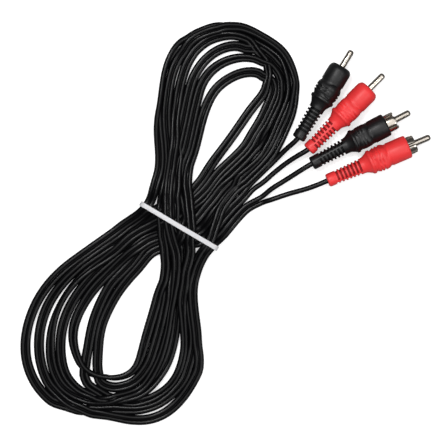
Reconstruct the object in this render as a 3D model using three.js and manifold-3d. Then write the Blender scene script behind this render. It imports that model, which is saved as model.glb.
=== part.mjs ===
// Stereo phono lead: black twin cable wound as a crossed hank and tied at its waist, with a
// black and a red moulded plug at each end of the lead.
//
// Millimetres. X runs to the right and Y away as the lead is seen from above, and Z runs up
// from the surface that it lies on. The origin is the middle of its footprint.

import * as THREE from "three";
import { mergeVertices } from "three/addons/utils/BufferGeometryUtils.js";
import Module from "manifold-3d";

const wasm = await Module();
wasm.setup();

// Clearance between pieces that touch
const GAP = 0.3;

// Cable: one single lead of the twin cable
const LEAD_RADIUS = 1.3;
const LEAD_SIDES = 8;
const LEAD_STEP = 6.5;

// Boot lengths, from its rear end forward
const COLLAR_LENGTH = 4.0;
const TAIL_LENGTH = 14.0;
const CONE_LENGTH = 3.6;
const BELL_LENGTH = 1.8;
const GRIP_LENGTH = 9.4;

// Boot radii
const COLLAR_RADIUS = 3.4;
const COLLAR_EDGE = 0.5;
const TAIL_FRONT_RADIUS = 4.0;
const CONE_FRONT_RADIUS = 5.5;
const BELL_RADIUS = 6.15;
const BELL_EDGE = 0.5;
const NOSE_RADIUS = 5.9;

// Grip: a square with round corners, whose flats lie flush with the nose
const GRIP_CORNER_RADIUS = 4.0;
const GRIP_EDGE = 0.5;
const GRIP_RING_COUNT = 3;
const GRIP_RING_FIRST = 0.7;
const GRIP_RING_PITCH = 1.7;
const GRIP_RING_WIDTH = 0.8;
const GRIP_RING_FLOOR = 5.95;
const THUMB_GROOVE_COUNT = 2;
const THUMB_GROOVE_FIRST = 3.0;
const THUMB_GROOVE_LENGTH = 3.2;
const THUMB_GROOVE_WIDTH = 0.7;
const THUMB_GROOVE_DEPTH = 0.4;

// Strain relief: two staggered rows of slots, with a spine between them on each side
const SLOT_COUNT = 7;
const SLOT_WIDTH = 0.95;
const SLOT_FLOOR_RADIUS = 2.5;
const SLOT_ARC = THREE.MathUtils.degToRad(150);

// Nose edges: rounded over the shell on the first end, nearly square on the second
const ROUND_NOSE_EDGE = 2.4;
const SQUARE_NOSE_EDGE = 0.5;
const ROUND_NOSE_LIP = 0.1;

// Ground shell: a cup with sprung petals and a solder tag
const SHELL_BORE_RADIUS = 4.15;
const SHELL_WALL = 0.4;
const SHELL_DEPTH = 6.5;
const SHELL_FLOOR = 0.6;
const PETAL_COUNT = 5;
const PETAL_SLOT_WIDTH = 1.7;
const PETAL_SLOT_DEPTH = 4.6;
const TAG_LENGTH = 4.5;
const TAG_WIDTH = 2.2;
const TAG_THICKNESS = 0.5;

// Centre pin
const PIN_RADIUS = 1.585;
const PIN_BEYOND_SHELL = 8.3;
const PIN_BEHIND_SHELL = 4.0;
const PIN_TIP_LENGTH = 1.2;
const PIN_TIP_FLAT_RADIUS = 0.5;
const CUP_RADIUS = 1.05;
const CUP_DEPTH = 3.0;

// Insulator between pin and shell
const INSULATOR_FACE = 1.5;
const INSULATOR_SLEEVE_WALL = 0.42;
const INSULATOR_BEHIND_SHELL = 2.0;

// Stripped end of the lead inside the boot
const CORE_RADIUS = 0.75;
const STRIPPED_LENGTH = 9.0;
const SHIELD_TAIL_RADIUS = 0.45;

// Plugs, from the upper one of the fan to the lower one. Turns are about the plug's own axis.
const degrees = THREE.MathUtils.degToRad;
const FAN_START = new THREE.Vector2(45.1, 30.8);
const BLACK = 0x2b2b2d;
const RED = 0xd8322f;
const BLACK_1 = {
  name: "black_1", colour: BLACK, heading: degrees(58.6), noseLength: 10.1, shellOut: -0.1,
  roundNose: true, gripTurn: degrees(-21), tailTurn: degrees(43), shellTurn: 0,
};
const RED_1 = {
  name: "red_1", colour: RED, heading: degrees(45), noseLength: 9.8, shellOut: -0.1,
  roundNose: true, gripTurn: 0, tailTurn: 0, shellTurn: 0,
};
const BLACK_2 = {
  name: "black_2", colour: BLACK, heading: degrees(27.7), noseLength: 8.0, shellOut: 4.9,
  roundNose: false, gripTurn: 0, tailTurn: degrees(-15), shellTurn: 0,
};
const RED_2 = {
  name: "red_2", colour: RED, heading: degrees(23.2), noseLength: 9.9, shellOut: 3.7,
  roundNose: false, gripTurn: degrees(22), tailTurn: degrees(50), shellTurn: degrees(36),
};

// How far along its neighbour each plug's rear end lies
const RED_1_ALONG_BLACK_2 = 0.9;
const BLACK_1_ALONG_RED_1 = 0.0;
const RED_2_ALONG_BLACK_2 = 2.7;

// Free single leads from the hank to the plugs, chosen by eye from the lead's real lie
const LEAD_ROUTES = {
  black_1: [[27.6, 32.4, 2.8], [31.6, 36.3, 4.4], [34.9, 39.8, 5.6]],
  red_1: [[18.6, 19.9, 1.9], [24.0, 24.4, 2.4], [31.6, 29.8, 3.8], [38.4, 34.4, 5.5]],
  black_2: [[14.4, 11.5, 1.9], [22.0, 16.4, 2.4], [31.0, 22.1, 3.7], [40.2, 28.0, 5.6]],
  red_2: [[11.6, 6.4, 1.9], [20.6, 11.5, 2.2], [31.6, 15.6, 3.4], [42.4, 18.4, 5.2]],
};

// Hank: the outer outline of its two loops, clockwise from the left of the waist
const HANK_OUTLINE = [
  [-39.6, 12.0], [-34.6, 24.0], [-33.8, 31.0], [-34.9, 51.3], [-33.2, 69.2], [-29.6, 83.4],
  [-22.4, 92.7], [-11.7, 98.5], [0.2, 101.0], [8.4, 101.0], [19.5, 96.0], [28.7, 89.8],
  [34.5, 82.0], [37.5, 71.3], [36.7, 60.5], [32.5, 47.7], [27.4, 35.6], [21.0, 26.6],
  [14.6, 18.4], [9.4, 9.4], [4.6, 1.4], [-0.7, -6.8], [-5.6, -13.0], [-11.0, -23.0],
  [-13.4, -32.1], [-13.0, -42.8], [-11.8, -51.4], [-10.8, -62.8], [-12.5, -76.4],
  [-18.9, -88.5], [-29.6, -97.2], [-42.8, -101.0], [-54.6, -99.4], [-76.0, -95.7],
  [-86.8, -90.7], [-94.6, -83.6], [-101.0, -71.4], [-102.4, -59.3], [-100.3, -48.5],
  [-93.9, -34.3], [-83.2, -22.1], [-68.9, -11.4], [-51.4, 0.0], [-43.6, 6.6],
];

// Gaps between the hank's strands, wide enough to see through
const HANK_GAPS = {
  upperLoop: [
    [10.2, 74.0], [17.4, 69.0], [16.2, 63.6], [8.0, 52.6], [-4.6, 36.3], [-11.4, 26.6],
    [-15.4, 20.4], [-16.6, 27.0], [-13.9, 35.5], [-10.3, 47.7], [-6.0, 60.5], [0.2, 69.1],
  ],
  upperSlit: [
    [19.6, 59.6], [15.6, 48.2], [9.8, 40.6], [3.0, 34.4], [-3.0, 28.0], [3.0, 37.8],
    [10.8, 48.4],
  ],
  topSlit: [[-13.4, 84.8], [-8.6, 90.4], [0.2, 93.3], [9.6, 93.2], [-1.0, 90.4], [-8.2, 86.6]],
  lowerLoop: [
    [-32.6, -15.6], [-47.4, -30.0], [-56.0, -43.5], [-60.3, -59.3], [-59.6, -67.8],
    [-56.9, -73.6], [-51.0, -73.2], [-46.0, -69.8], [-41.7, -59.3], [-36.7, -42.8],
    [-32.4, -25.0],
  ],
  lowerLeft: [
    [-60.8, -36.4], [-67.4, -45.0], [-71.1, -58.0], [-69.4, -66.6], [-65.4, -72.6],
    [-65.2, -60.0], [-63.6, -48.6],
  ],
  lowerRight: [
    [-21.0, -63.0], [-27.6, -72.0], [-32.6, -79.6], [-37.6, -86.0], [-33.6, -86.6],
    [-27.2, -79.6], [-22.6, -71.4],
  ],
};
const LOOP_HEIGHT = 5.6;
const HANK_EDGE = 1.2;

// Waist: where the strands cross under the tie, drawn along and across the tie
const WAIST_CENTRE = new THREE.Vector2(-23.0, -0.75);
const TIE_ANGLE = degrees(-30.6);
const WAIST_HALF_LENGTH = 12.0;
const WAIST_END_HALF_WIDTH = 16.5;
const WAIST_EDGE = 1.6;

// Cable tie: a nylon strap around the waist, with its locking head underneath
const TIE_SPAN = 43.3;
const TIE_WIDTH = 2.6;
const TIE_THICKNESS = 1.0;
const TIE_LIFT = 2.0;
const TIE_HEIGHT = 10.0;
const HEAD_LENGTH = 4.6;
const HEAD_WIDTH = 4.4;
const HEAD_HEIGHT = 3.4;
const HEAD_PLACE = -9.0;

// Facets: around each piece, and in pairs along each arc of a drawn shape
const BOOT_FACETS = 16;
const SHELL_FACETS = 20;
const PIN_FACETS = 12;
const CORE_FACETS = 8;
const CORNER_FACETS = 2;
const SLOT_FACETS = 2;
const TIE_FACETS = 5;
const OUTLINE_FINENESS = 1.5;

// Worked out from the values above
const tailStart = COLLAR_LENGTH;
const coneStart = tailStart + TAIL_LENGTH;
const bellStart = coneStart + CONE_LENGTH;
const bellEnd = bellStart + BELL_LENGTH;
const gripEnd = bellEnd + GRIP_LENGTH;
const boreRadius = LEAD_RADIUS + GAP;
const shellRadius = SHELL_BORE_RADIUS + SHELL_WALL;
const shellLength = SHELL_DEPTH + SHELL_FLOOR;
const pocketRadius = shellRadius + GAP;
const insulatorBore = PIN_RADIUS + GAP;
const sleeveRadius = insulatorBore + INSULATOR_SLEEVE_WALL;
const shellHoleRadius = sleeveRadius + GAP;
const shieldOffset = PIN_RADIUS + GAP + SHIELD_TAIL_RADIUS;
const tagOffset = shieldOffset + SHIELD_TAIL_RADIUS + GAP;
const chamberRadius = Math.hypot(tagOffset + TAG_THICKNESS, TAG_WIDTH / 2) + GAP;
const gripCoreRadius = NOSE_RADIUS - GAP;

// Solid helpers
function toSolid(geometry) {
  const bare = geometry.clone();
  bare.deleteAttribute("normal");
  bare.deleteAttribute("uv");
  const merged = mergeVertices(bare, 1e-4);
  return new wasm.Manifold(new wasm.Mesh({
    numProp: 3,
    vertProperties: Float32Array.from(merged.attributes.position.array),
    triVerts: Uint32Array.from(merged.index.array),
  }));
}

function toGeometry(solid) {
  const mesh = solid.getMesh();
  const geometry = new THREE.BufferGeometry();
  geometry.setAttribute("position", new THREE.BufferAttribute(mesh.vertProperties, 3));
  geometry.setIndex(new THREE.BufferAttribute(mesh.triVerts, 1));
  geometry.computeVertexNormals();
  return geometry;
}

// A solid of revolution about the plug's axis. The profile is a list of [station, radius] that
// runs forward on the outside.
function turned(profile, facets) {
  const points = profile.map(([station, radius]) => new THREE.Vector2(radius, station));
  return new THREE.LatheGeometry(points, facets).rotateZ(-Math.PI / 2);
}

// The rounded end of such a profile, from its outer radius in to the radius of its flat
function roundedEnd(end, length, flatRadius, outerRadius) {
  return [1, 0.75, 0.45, 0].map((share) => {
    const reach = Math.sqrt(1 - share * share);
    return [end - length * (1 - reach), flatRadius + (outerRadius - flatRadius) * share];
  });
}

// A prism along the plug's axis, whose section has its top towards +Z
function alongAxis(shape, start, length, edge, curveSegments) {
  const geometry = new THREE.ExtrudeGeometry(shape, {
    depth: length - 2 * edge,
    bevelEnabled: edge > 0,
    bevelThickness: edge,
    bevelSize: edge,
    bevelOffset: -edge,
    bevelSegments: 1,
    curveSegments,
  });
  geometry.translate(0, 0, edge);
  geometry.rotateX(Math.PI / 2).rotateZ(Math.PI / 2);
  return geometry.translate(start, 0, 0);
}

function box(sizeX, sizeY, sizeZ, x, y, z) {
  return new THREE.BoxGeometry(sizeX, sizeY, sizeZ).translate(x, y, z);
}

function roundedSquare(halfWidth, cornerRadius) {
  const inner = halfWidth - cornerRadius;
  const shape = new THREE.Shape();
  shape.absarc(inner, inner, cornerRadius, 0, Math.PI / 2);
  shape.absarc(-inner, inner, cornerRadius, Math.PI / 2, Math.PI);
  shape.absarc(-inner, -inner, cornerRadius, Math.PI, 1.5 * Math.PI);
  shape.absarc(inner, -inner, cornerRadius, 1.5 * Math.PI, 2 * Math.PI);
  return shape;
}

function ringSector(innerRadius, outerRadius, arc) {
  const shape = new THREE.Shape();
  shape.absarc(0, 0, outerRadius, -arc / 2, arc / 2);
  shape.absarc(0, 0, innerRadius, arc / 2, -arc / 2, true);
  return shape;
}

// Furthest reach of the grip's section, straight down, when it is turned
function gripReach(turn) {
  const inner = NOSE_RADIUS - GRIP_CORNER_RADIUS;
  return inner * (Math.abs(Math.cos(turn)) + Math.abs(Math.sin(turn))) + GRIP_CORNER_RADIUS;
}

// Stations along one plug's axis, from its rear end
function stations(plug) {
  const bootEnd = gripEnd + plug.noseLength;
  const shellRear = bootEnd + plug.shellOut - shellLength;
  const leadEnd = shellRear - STRIPPED_LENGTH;
  return { bootEnd, shellRear, leadEnd };
}

// Boot: one moulding, with a pocket for the shell, a chamber for the joints and the lead's bore
function bootBody(plug) {
  const { bootEnd, shellRear, leadEnd } = stations(plug);
  const edge = plug.roundNose ? ROUND_NOSE_EDGE : SQUARE_NOSE_EDGE;
  const lipRadius = plug.roundNose ? pocketRadius + ROUND_NOSE_LIP : NOSE_RADIUS - edge;
  return turned([
    [0, boreRadius],
    [0, COLLAR_RADIUS - COLLAR_EDGE],
    [COLLAR_EDGE, COLLAR_RADIUS],
    [tailStart, COLLAR_RADIUS],
    [coneStart, TAIL_FRONT_RADIUS],
    [bellStart, CONE_FRONT_RADIUS],
    [bellStart + BELL_EDGE, BELL_RADIUS],
    [bellEnd - BELL_EDGE, BELL_RADIUS],
    [bellEnd, gripCoreRadius],
    [gripEnd - GRIP_EDGE, gripCoreRadius],
    [gripEnd - GRIP_EDGE, NOSE_RADIUS],
    ...roundedEnd(bootEnd, edge, lipRadius, NOSE_RADIUS),
    [bootEnd, pocketRadius],
    [shellRear - GAP, pocketRadius],
    [shellRear - GAP, chamberRadius],
    [leadEnd - GAP, chamberRadius],
    [leadEnd - GAP, boreRadius],
    [0, boreRadius],
  ], BOOT_FACETS);
}

function gripPanel(plug) {
  const start = bellStart + BELL_LENGTH / 2;
  const section = roundedSquare(NOSE_RADIUS, GRIP_CORNER_RADIUS);
  const panel = toSolid(alongAxis(section, start, gripEnd - start, GRIP_EDGE, CORNER_FACETS));
  const core = toSolid(turned([
    [start - GAP, 0],
    [start - GAP, gripCoreRadius - GAP],
    [gripEnd + GAP, gripCoreRadius - GAP],
    [gripEnd + GAP, 0],
  ], BOOT_FACETS));
  return panel.subtract(core).rotate([THREE.MathUtils.radToDeg(plug.gripTurn), 0, 0]);
}

function gripCuts(plug) {
  const cuts = [];
  const beyond = NOSE_RADIUS + GRIP_CORNER_RADIUS;
  for (let i = 0; i < GRIP_RING_COUNT; i++) {
    const start = bellEnd + GRIP_RING_FIRST + GRIP_RING_PITCH * i;
    cuts.push(toSolid(turned([
      [start, GRIP_RING_FLOOR],
      [start, beyond],
      [start + GRIP_RING_WIDTH, beyond],
      [start + GRIP_RING_WIDTH, GRIP_RING_FLOOR],
      [start, GRIP_RING_FLOOR],
    ], BOOT_FACETS)));
  }
  for (let i = 0; i < THUMB_GROOVE_COUNT; i++) {
    const station = bellEnd + THUMB_GROOVE_FIRST + GRIP_RING_PITCH * i;
    for (const side of [1, -1]) {
      const groove = box(THUMB_GROOVE_WIDTH, THUMB_GROOVE_LENGTH, 2 * THUMB_GROOVE_DEPTH,
        station, 0, side * NOSE_RADIUS).rotateX(plug.gripTurn);
      cuts.push(toSolid(groove));
    }
  }
  return cuts;
}

function strainReliefCuts(plug) {
  const pitch = TAIL_LENGTH / SLOT_COUNT;
  const sector = ringSector(SLOT_FLOOR_RADIUS, TAIL_FRONT_RADIUS + 1, SLOT_ARC);
  const cuts = [];
  for (let i = 0; i < 2 * SLOT_COUNT - 1; i++) {
    const side = i % 2;
    const start = tailStart + pitch * (i + 1) / 2 - SLOT_WIDTH / 2;
    const slot = alongAxis(sector, start, SLOT_WIDTH, 0, SLOT_FACETS);
    cuts.push(toSolid(slot.rotateX(plug.tailTurn + side * Math.PI)));
  }
  return cuts;
}

function bootGeometry(plug) {
  let boot = toSolid(bootBody(plug)).add(gripPanel(plug));
  for (const cut of [...gripCuts(plug), ...strainReliefCuts(plug)]) {
    boot = boot.subtract(cut);
  }
  return toGeometry(boot);
}

// Ground shell
function shellGeometry(plug) {
  const { shellRear } = stations(plug);
  const rim = shellRear + shellLength;
  let shell = toSolid(turned([
    [shellRear, shellHoleRadius],
    [shellRear, shellRadius],
    [rim, shellRadius],
    [rim, SHELL_BORE_RADIUS],
    [shellRear + SHELL_FLOOR, SHELL_BORE_RADIUS],
    [shellRear + SHELL_FLOOR, shellHoleRadius],
    [shellRear, shellHoleRadius],
  ], SHELL_FACETS));
  for (let i = 0; i < PETAL_COUNT; i++) {
    const turn = plug.shellTurn + (i + 0.5) * 2 * Math.PI / PETAL_COUNT;
    const slot = box(PETAL_SLOT_DEPTH, PETAL_SLOT_WIDTH, shellRadius,
      rim - PETAL_SLOT_DEPTH / 2 + GAP / 2, 0, shellRadius);
    shell = shell.subtract(toSolid(slot.rotateX(turn)));
  }
  const overlap = SHELL_FLOOR / 2;
  const tag = box(TAG_LENGTH + overlap, TAG_WIDTH, TAG_THICKNESS,
    shellRear - TAG_LENGTH / 2 + overlap / 2, 0, -tagOffset - TAG_THICKNESS / 2);
  return toGeometry(shell.add(toSolid(tag)));
}

// Insulator: a face inside the shell and a sleeve through its floor, bored for the pin
function insulatorGeometry(plug) {
  const { shellRear } = stations(plug);
  const faceStart = shellRear + SHELL_FLOOR + GAP;
  const sleeveStart = shellRear - INSULATOR_BEHIND_SHELL;
  return turned([
    [sleeveStart, insulatorBore],
    [sleeveStart, sleeveRadius],
    [faceStart, sleeveRadius],
    [faceStart, SHELL_BORE_RADIUS - GAP],
    [faceStart + INSULATOR_FACE, SHELL_BORE_RADIUS - GAP],
    [faceStart + INSULATOR_FACE, insulatorBore],
    [sleeveStart, insulatorBore],
  ], PIN_FACETS);
}

// Centre pin: solid, with a rounded tip and a solder cup at its rear
function pinGeometry(plug) {
  const { shellRear } = stations(plug);
  const rear = shellRear - PIN_BEHIND_SHELL;
  const tip = shellRear + shellLength + PIN_BEYOND_SHELL;
  return turned([
    [rear + CUP_DEPTH, 0],
    [rear + CUP_DEPTH, CUP_RADIUS],
    [rear, CUP_RADIUS],
    [rear, PIN_RADIUS],
    ...roundedEnd(tip, PIN_TIP_LENGTH, PIN_TIP_FLAT_RADIUS, PIN_RADIUS),
    [tip, 0],
  ], PIN_FACETS);
}

// Stripped core: from the jacket's end into the pin's cup
function coreGeometry(plug) {
  const { shellRear, leadEnd } = stations(plug);
  const start = leadEnd + GAP;
  const end = shellRear - PIN_BEHIND_SHELL + CUP_DEPTH - GAP;
  return turned([[start, 0], [start, CORE_RADIUS], [end, CORE_RADIUS], [end, 0]], CORE_FACETS);
}

// A round tube along a route, with flat ends
function tube(route, radius, stepLength) {
  const section = new THREE.Shape(Array.from({ length: LEAD_SIDES }, (_, i) => {
    const turn = (i + 0.5) * 2 * Math.PI / LEAD_SIDES;
    return new THREE.Vector2(radius * Math.cos(turn), radius * Math.sin(turn));
  }));
  const path = new THREE.CatmullRomCurve3(route, false, "centripetal");
  const steps = Math.max(3, Math.round(path.getLength() / stepLength));
  return new THREE.ExtrudeGeometry(section, { steps, bevelEnabled: false, extrudePath: path });
}

// Shield tail: the twisted braid, from the jacket's end to the shell's tag
function shieldTailGeometry(plug) {
  const { shellRear, leadEnd } = stations(plug);
  const start = leadEnd + GAP;
  const tagEnd = shellRear - TAG_LENGTH;
  const overTag = (shellRear - PIN_BEHIND_SHELL + shellRear - INSULATOR_BEHIND_SHELL) / 2 - GAP;
  const offset = CORE_RADIUS + GAP + SHIELD_TAIL_RADIUS;
  return tube([
    new THREE.Vector3(start, 0, -offset),
    new THREE.Vector3((start + tagEnd) / 2, 0, -(offset + shieldOffset) / 2),
    new THREE.Vector3(tagEnd, 0, -shieldOffset),
    new THREE.Vector3(overTag, 0, -shieldOffset),
  ], SHIELD_TAIL_RADIUS, 2);
}

// Placing the plugs: side by side in a fan, each clear of its neighbour at the collars and at
// its widest part
function heading(angle) {
  return new THREE.Vector2(Math.cos(angle), Math.sin(angle));
}

function rearSpacing(angleBetween) {
  const widest = BELL_RADIUS + gripReach(Math.PI / 4) + GAP - bellEnd * Math.sin(angleBetween);
  return Math.max(2 * COLLAR_RADIUS + GAP, widest);
}

function placeBeside(neighbour, plug, along, side) {
  const forward = heading(neighbour.heading);
  const across = new THREE.Vector2(-forward.y, forward.x).multiplyScalar(side);
  const spacing = rearSpacing(Math.abs(plug.heading - neighbour.heading));
  plug.rear = neighbour.rear.clone()
    .addScaledVector(forward, along)
    .addScaledVector(across, spacing);
}

function placePlugs() {
  BLACK_2.rear = FAN_START.clone();
  placeBeside(BLACK_2, RED_1, RED_1_ALONG_BLACK_2, 1);
  placeBeside(RED_1, BLACK_1, BLACK_1_ALONG_RED_1, 1);
  placeBeside(BLACK_2, RED_2, RED_2_ALONG_BLACK_2, -1);
  for (const plug of [BLACK_1, RED_1, BLACK_2, RED_2]) {
    plug.axisHeight = Math.max(BELL_RADIUS, gripReach(plug.gripTurn));
  }
}

// Single lead: from the hank, along its route, and straight up the boot's bore
function leadGeometry(plug) {
  const forward = heading(plug.heading);
  const route = LEAD_ROUTES[plug.name].map((point) => new THREE.Vector3(...point));
  const { leadEnd } = stations(plug);
  for (const station of [-GAP, leadEnd / 3, 2 * leadEnd / 3, leadEnd]) {
    const place = plug.rear.clone().addScaledVector(forward, station);
    route.push(new THREE.Vector3(place.x, place.y, plug.axisHeight));
  }
  return tube(route, LEAD_RADIUS, LEAD_STEP);
}

// Hank: the two loops as one slab with its gaps, and the thicker waist where they cross. The
// outline is turned anticlockwise, which lets ExtrudeGeometry wind the gaps by itself.
function smoothOutline(points) {
  const curve = new THREE.CatmullRomCurve3(
    points.map(([x, y]) => new THREE.Vector3(x, y, 0)), true, "centripetal");
  const places = curve.getPoints(Math.round(points.length * OUTLINE_FINENESS));
  places.pop();
  return places.map((place) => new THREE.Vector2(place.x, place.y));
}

function slab(shape, height, edge) {
  return new THREE.ExtrudeGeometry(shape, {
    depth: height - 2 * edge,
    bevelThickness: edge,
    bevelSize: edge,
    bevelOffset: -edge,
    bevelSegments: 1,
  }).translate(0, 0, edge);
}

function atWaist(geometry) {
  return geometry.rotateZ(TIE_ANGLE).translate(WAIST_CENTRE.x, WAIST_CENTRE.y, 0);
}

// A band around the waist, drawn in the upright plane along the tie and given its width
function waistBand(shape, width) {
  const geometry = new THREE.ExtrudeGeometry(shape, {
    depth: width, bevelEnabled: false, curveSegments: TIE_FACETS,
  });
  return atWaist(geometry.rotateX(Math.PI / 2).translate(0, width / 2, 0));
}

function stadium(outside, target) {
  const radius = TIE_HEIGHT / 2 - outside;
  const centre = TIE_SPAN / 2 - TIE_HEIGHT / 2;
  const middle = TIE_LIFT + TIE_HEIGHT / 2;
  target.absarc(centre, middle, radius, -Math.PI / 2, Math.PI / 2);
  target.absarc(-centre, middle, radius, Math.PI / 2, 1.5 * Math.PI);
  target.closePath();
  return target;
}

function headBox(margin) {
  const height = HEAD_HEIGHT + margin;
  return atWaist(box(HEAD_LENGTH + 2 * margin, HEAD_WIDTH + 2 * margin, height,
    HEAD_PLACE, 0, height / 2));
}

function hankGeometry() {
  const outline = new THREE.Shape(smoothOutline(HANK_OUTLINE).reverse());
  for (const gap of Object.values(HANK_GAPS)) {
    outline.holes.push(new THREE.Path(smoothOutline(gap)));
  }
  const loops = toSolid(slab(outline, LOOP_HEIGHT, HANK_EDGE));
  const waistWidth = TIE_SPAN / 2 - TIE_THICKNESS - GAP;
  const waistTop = TIE_LIFT + TIE_HEIGHT - TIE_THICKNESS - GAP;
  const waistShape = new THREE.Shape([
    new THREE.Vector2(waistWidth, 0),
    new THREE.Vector2(WAIST_END_HALF_WIDTH, WAIST_HALF_LENGTH),
    new THREE.Vector2(-WAIST_END_HALF_WIDTH, WAIST_HALF_LENGTH),
    new THREE.Vector2(-waistWidth, 0),
    new THREE.Vector2(-WAIST_END_HALF_WIDTH, -WAIST_HALF_LENGTH),
    new THREE.Vector2(WAIST_END_HALF_WIDTH, -WAIST_HALF_LENGTH),
  ]);
  const waist = toSolid(atWaist(slab(waistShape, waistTop, WAIST_EDGE)));
  const around = new THREE.Shape([
    new THREE.Vector2(-TIE_SPAN, -TIE_HEIGHT),
    new THREE.Vector2(TIE_SPAN, -TIE_HEIGHT),
    new THREE.Vector2(TIE_SPAN, 2 * TIE_HEIGHT),
    new THREE.Vector2(-TIE_SPAN, 2 * TIE_HEIGHT),
  ]);
  around.holes.push(stadium(TIE_THICKNESS + GAP, new THREE.Path()));
  const strapRoom = toSolid(waistBand(around, TIE_WIDTH + 2 * GAP));
  const hank = loops.add(waist).subtract(strapRoom).subtract(toSolid(headBox(GAP)));
  return toGeometry(hank);
}

// Cable tie: one nylon moulding, its strap run round the waist and through its head
function tieGeometry() {
  const strap = stadium(0, new THREE.Shape());
  strap.holes.push(stadium(TIE_THICKNESS, new THREE.Path()));
  return toGeometry(toSolid(waistBand(strap, TIE_WIDTH)).add(toSolid(headBox(0))));
}

// Materials
function material(colour, roughness, metalness) {
  return new THREE.MeshStandardMaterial({ color: colour, roughness, metalness });
}

const nickel = material(0xb9b2a6, 0.25, 1.0);
const cablePvc = material(0x18181a, 0.35, 0.0);
const nylon = material(0xe6e4e2, 0.5, 0.0);
const insulatorPlastic = material(0xd9d6cf, 0.6, 0.0);
const corePlastic = material(0xc9c4b4, 0.6, 0.0);
const braid = material(0xb06a3c, 0.4, 1.0);

function named(name, geometry, surface) {
  const mesh = new THREE.Mesh(geometry, surface);
  mesh.name = name;
  return mesh;
}

function plugGroup(plug) {
  const group = new THREE.Group();
  group.position.set(plug.rear.x, plug.rear.y, plug.axisHeight);
  group.rotation.z = plug.heading;
  group.add(
    named(`${plug.name}_boot`, bootGeometry(plug), material(plug.colour, 0.55, 0.0)),
    named(`${plug.name}_ground_shell`, shellGeometry(plug), nickel),
    named(`${plug.name}_insulator`, insulatorGeometry(plug), insulatorPlastic),
    named(`${plug.name}_centre_pin`, pinGeometry(plug), nickel),
    named(`${plug.name}_core_wire`, coreGeometry(plug), corePlastic),
    named(`${plug.name}_shield_tail`, shieldTailGeometry(plug), braid),
  );
  return group;
}

// The whole lead
const phonoLead = new THREE.Group();
placePlugs();
for (const plug of [BLACK_1, RED_1, BLACK_2, RED_2]) {
  phonoLead.add(plugGroup(plug));
  phonoLead.add(named(`${plug.name}_lead`, leadGeometry(plug), cablePvc));
}
phonoLead.add(named("cable_hank", hankGeometry(), cablePvc));
phonoLead.add(named("cable_tie", tieGeometry(), nylon));

export default phonoLead;
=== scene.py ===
"""Stereo phono cable: a tied, crossed hank of twin cable with four moulded plugs fanned out.

Metres, +Z up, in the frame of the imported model. Sizes in the tables below are millimetres,
as on a drawing, and become metres where a mesh is made.
"""
import math
import bpy
import numpy as np
from mathutils import Matrix, Vector


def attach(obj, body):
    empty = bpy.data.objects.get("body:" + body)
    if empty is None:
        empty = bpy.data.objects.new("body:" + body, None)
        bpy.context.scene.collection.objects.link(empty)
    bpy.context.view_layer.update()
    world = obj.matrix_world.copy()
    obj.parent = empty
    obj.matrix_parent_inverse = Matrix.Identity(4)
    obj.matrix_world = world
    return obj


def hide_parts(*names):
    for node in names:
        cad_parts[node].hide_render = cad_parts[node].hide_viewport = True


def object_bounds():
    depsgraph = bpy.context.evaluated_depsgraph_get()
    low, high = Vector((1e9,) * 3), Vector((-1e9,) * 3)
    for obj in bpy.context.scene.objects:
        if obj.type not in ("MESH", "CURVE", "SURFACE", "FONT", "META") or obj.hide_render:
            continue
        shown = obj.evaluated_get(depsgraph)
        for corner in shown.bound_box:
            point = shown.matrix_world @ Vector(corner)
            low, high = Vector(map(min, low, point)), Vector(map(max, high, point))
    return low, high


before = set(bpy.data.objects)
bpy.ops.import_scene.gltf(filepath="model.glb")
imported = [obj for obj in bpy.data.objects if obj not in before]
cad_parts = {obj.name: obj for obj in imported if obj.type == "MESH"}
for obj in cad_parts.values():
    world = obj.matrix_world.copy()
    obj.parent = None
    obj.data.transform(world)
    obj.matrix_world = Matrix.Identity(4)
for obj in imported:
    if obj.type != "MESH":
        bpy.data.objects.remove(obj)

CAD_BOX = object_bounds()

bl_info = {
    "name": "Phono Cable",
    "version": (1, 0, 0),
    "blender": (4, 5, 0),
    "location": "3D View > Sidebar > Phono Cable",
    "description": "Builds a tied hank of twin phono cable with its four moulded plugs",
    "category": "Object",
}

MM = 0.001
CLEAR = 0.3

# Boot stations and radii, from its rear end forward
COLLAR_LENGTH = 4.0
TAIL_LENGTH = 14.0
CONE_LENGTH = 3.6
BELL_LENGTH = 1.8
GRIP_LENGTH = 9.4
COLLAR_RADIUS = 3.4
TAIL_FRONT_RADIUS = 4.0
CONE_FRONT_RADIUS = 5.5
BELL_RADIUS = 6.15
NOSE_RADIUS = 5.9
GRIP_CORNER_RADIUS = 4.0
RING_COUNT = 3
RING_FIRST = 0.7
RING_PITCH = 1.7
RING_WIDTH = 0.8
RING_FLOOR = 5.95
THUMB_FIRST = 3.0
THUMB_COUNT = 2
THUMB_SIZE = (0.7, 3.2, 0.8)
SLOT_COUNT = 7
SLOT_WIDTH = 1.1
SLOTS_SET_BACK = 1.6
SLOT_FLOOR = 2.85
SLOT_ARC = 167.0
ROUND_NOSE_EDGE = 3.0
ROUND_NOSE_INWARD = 2.1
SQUARE_NOSE_EDGE = 0.9
SHELL_BORE = 4.15
SHELL_WALL = 0.4
SHELL_DEPTH = 6.5
SHELL_FLOOR = 0.6
PETAL_COUNT = 5
PETAL_SLOT = (4.6, 1.7)
TAG_SIZE = (4.5, 2.2, 0.5)
PIN_BEYOND_SHELL = 8.3
PIN_BEHIND_SHELL = 4.0
STRIPPED_LENGTH = 9.0
PIN_RADIUS = 1.585
SOLDER_CUP_RADIUS = 1.05
SHIELD_TAIL_RADIUS = 0.9
SHELL_HOLE_RADIUS = 2.6
SOLDER_CHAMBER_RADIUS = 3.7
TURNED_SIDES = 72

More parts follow.
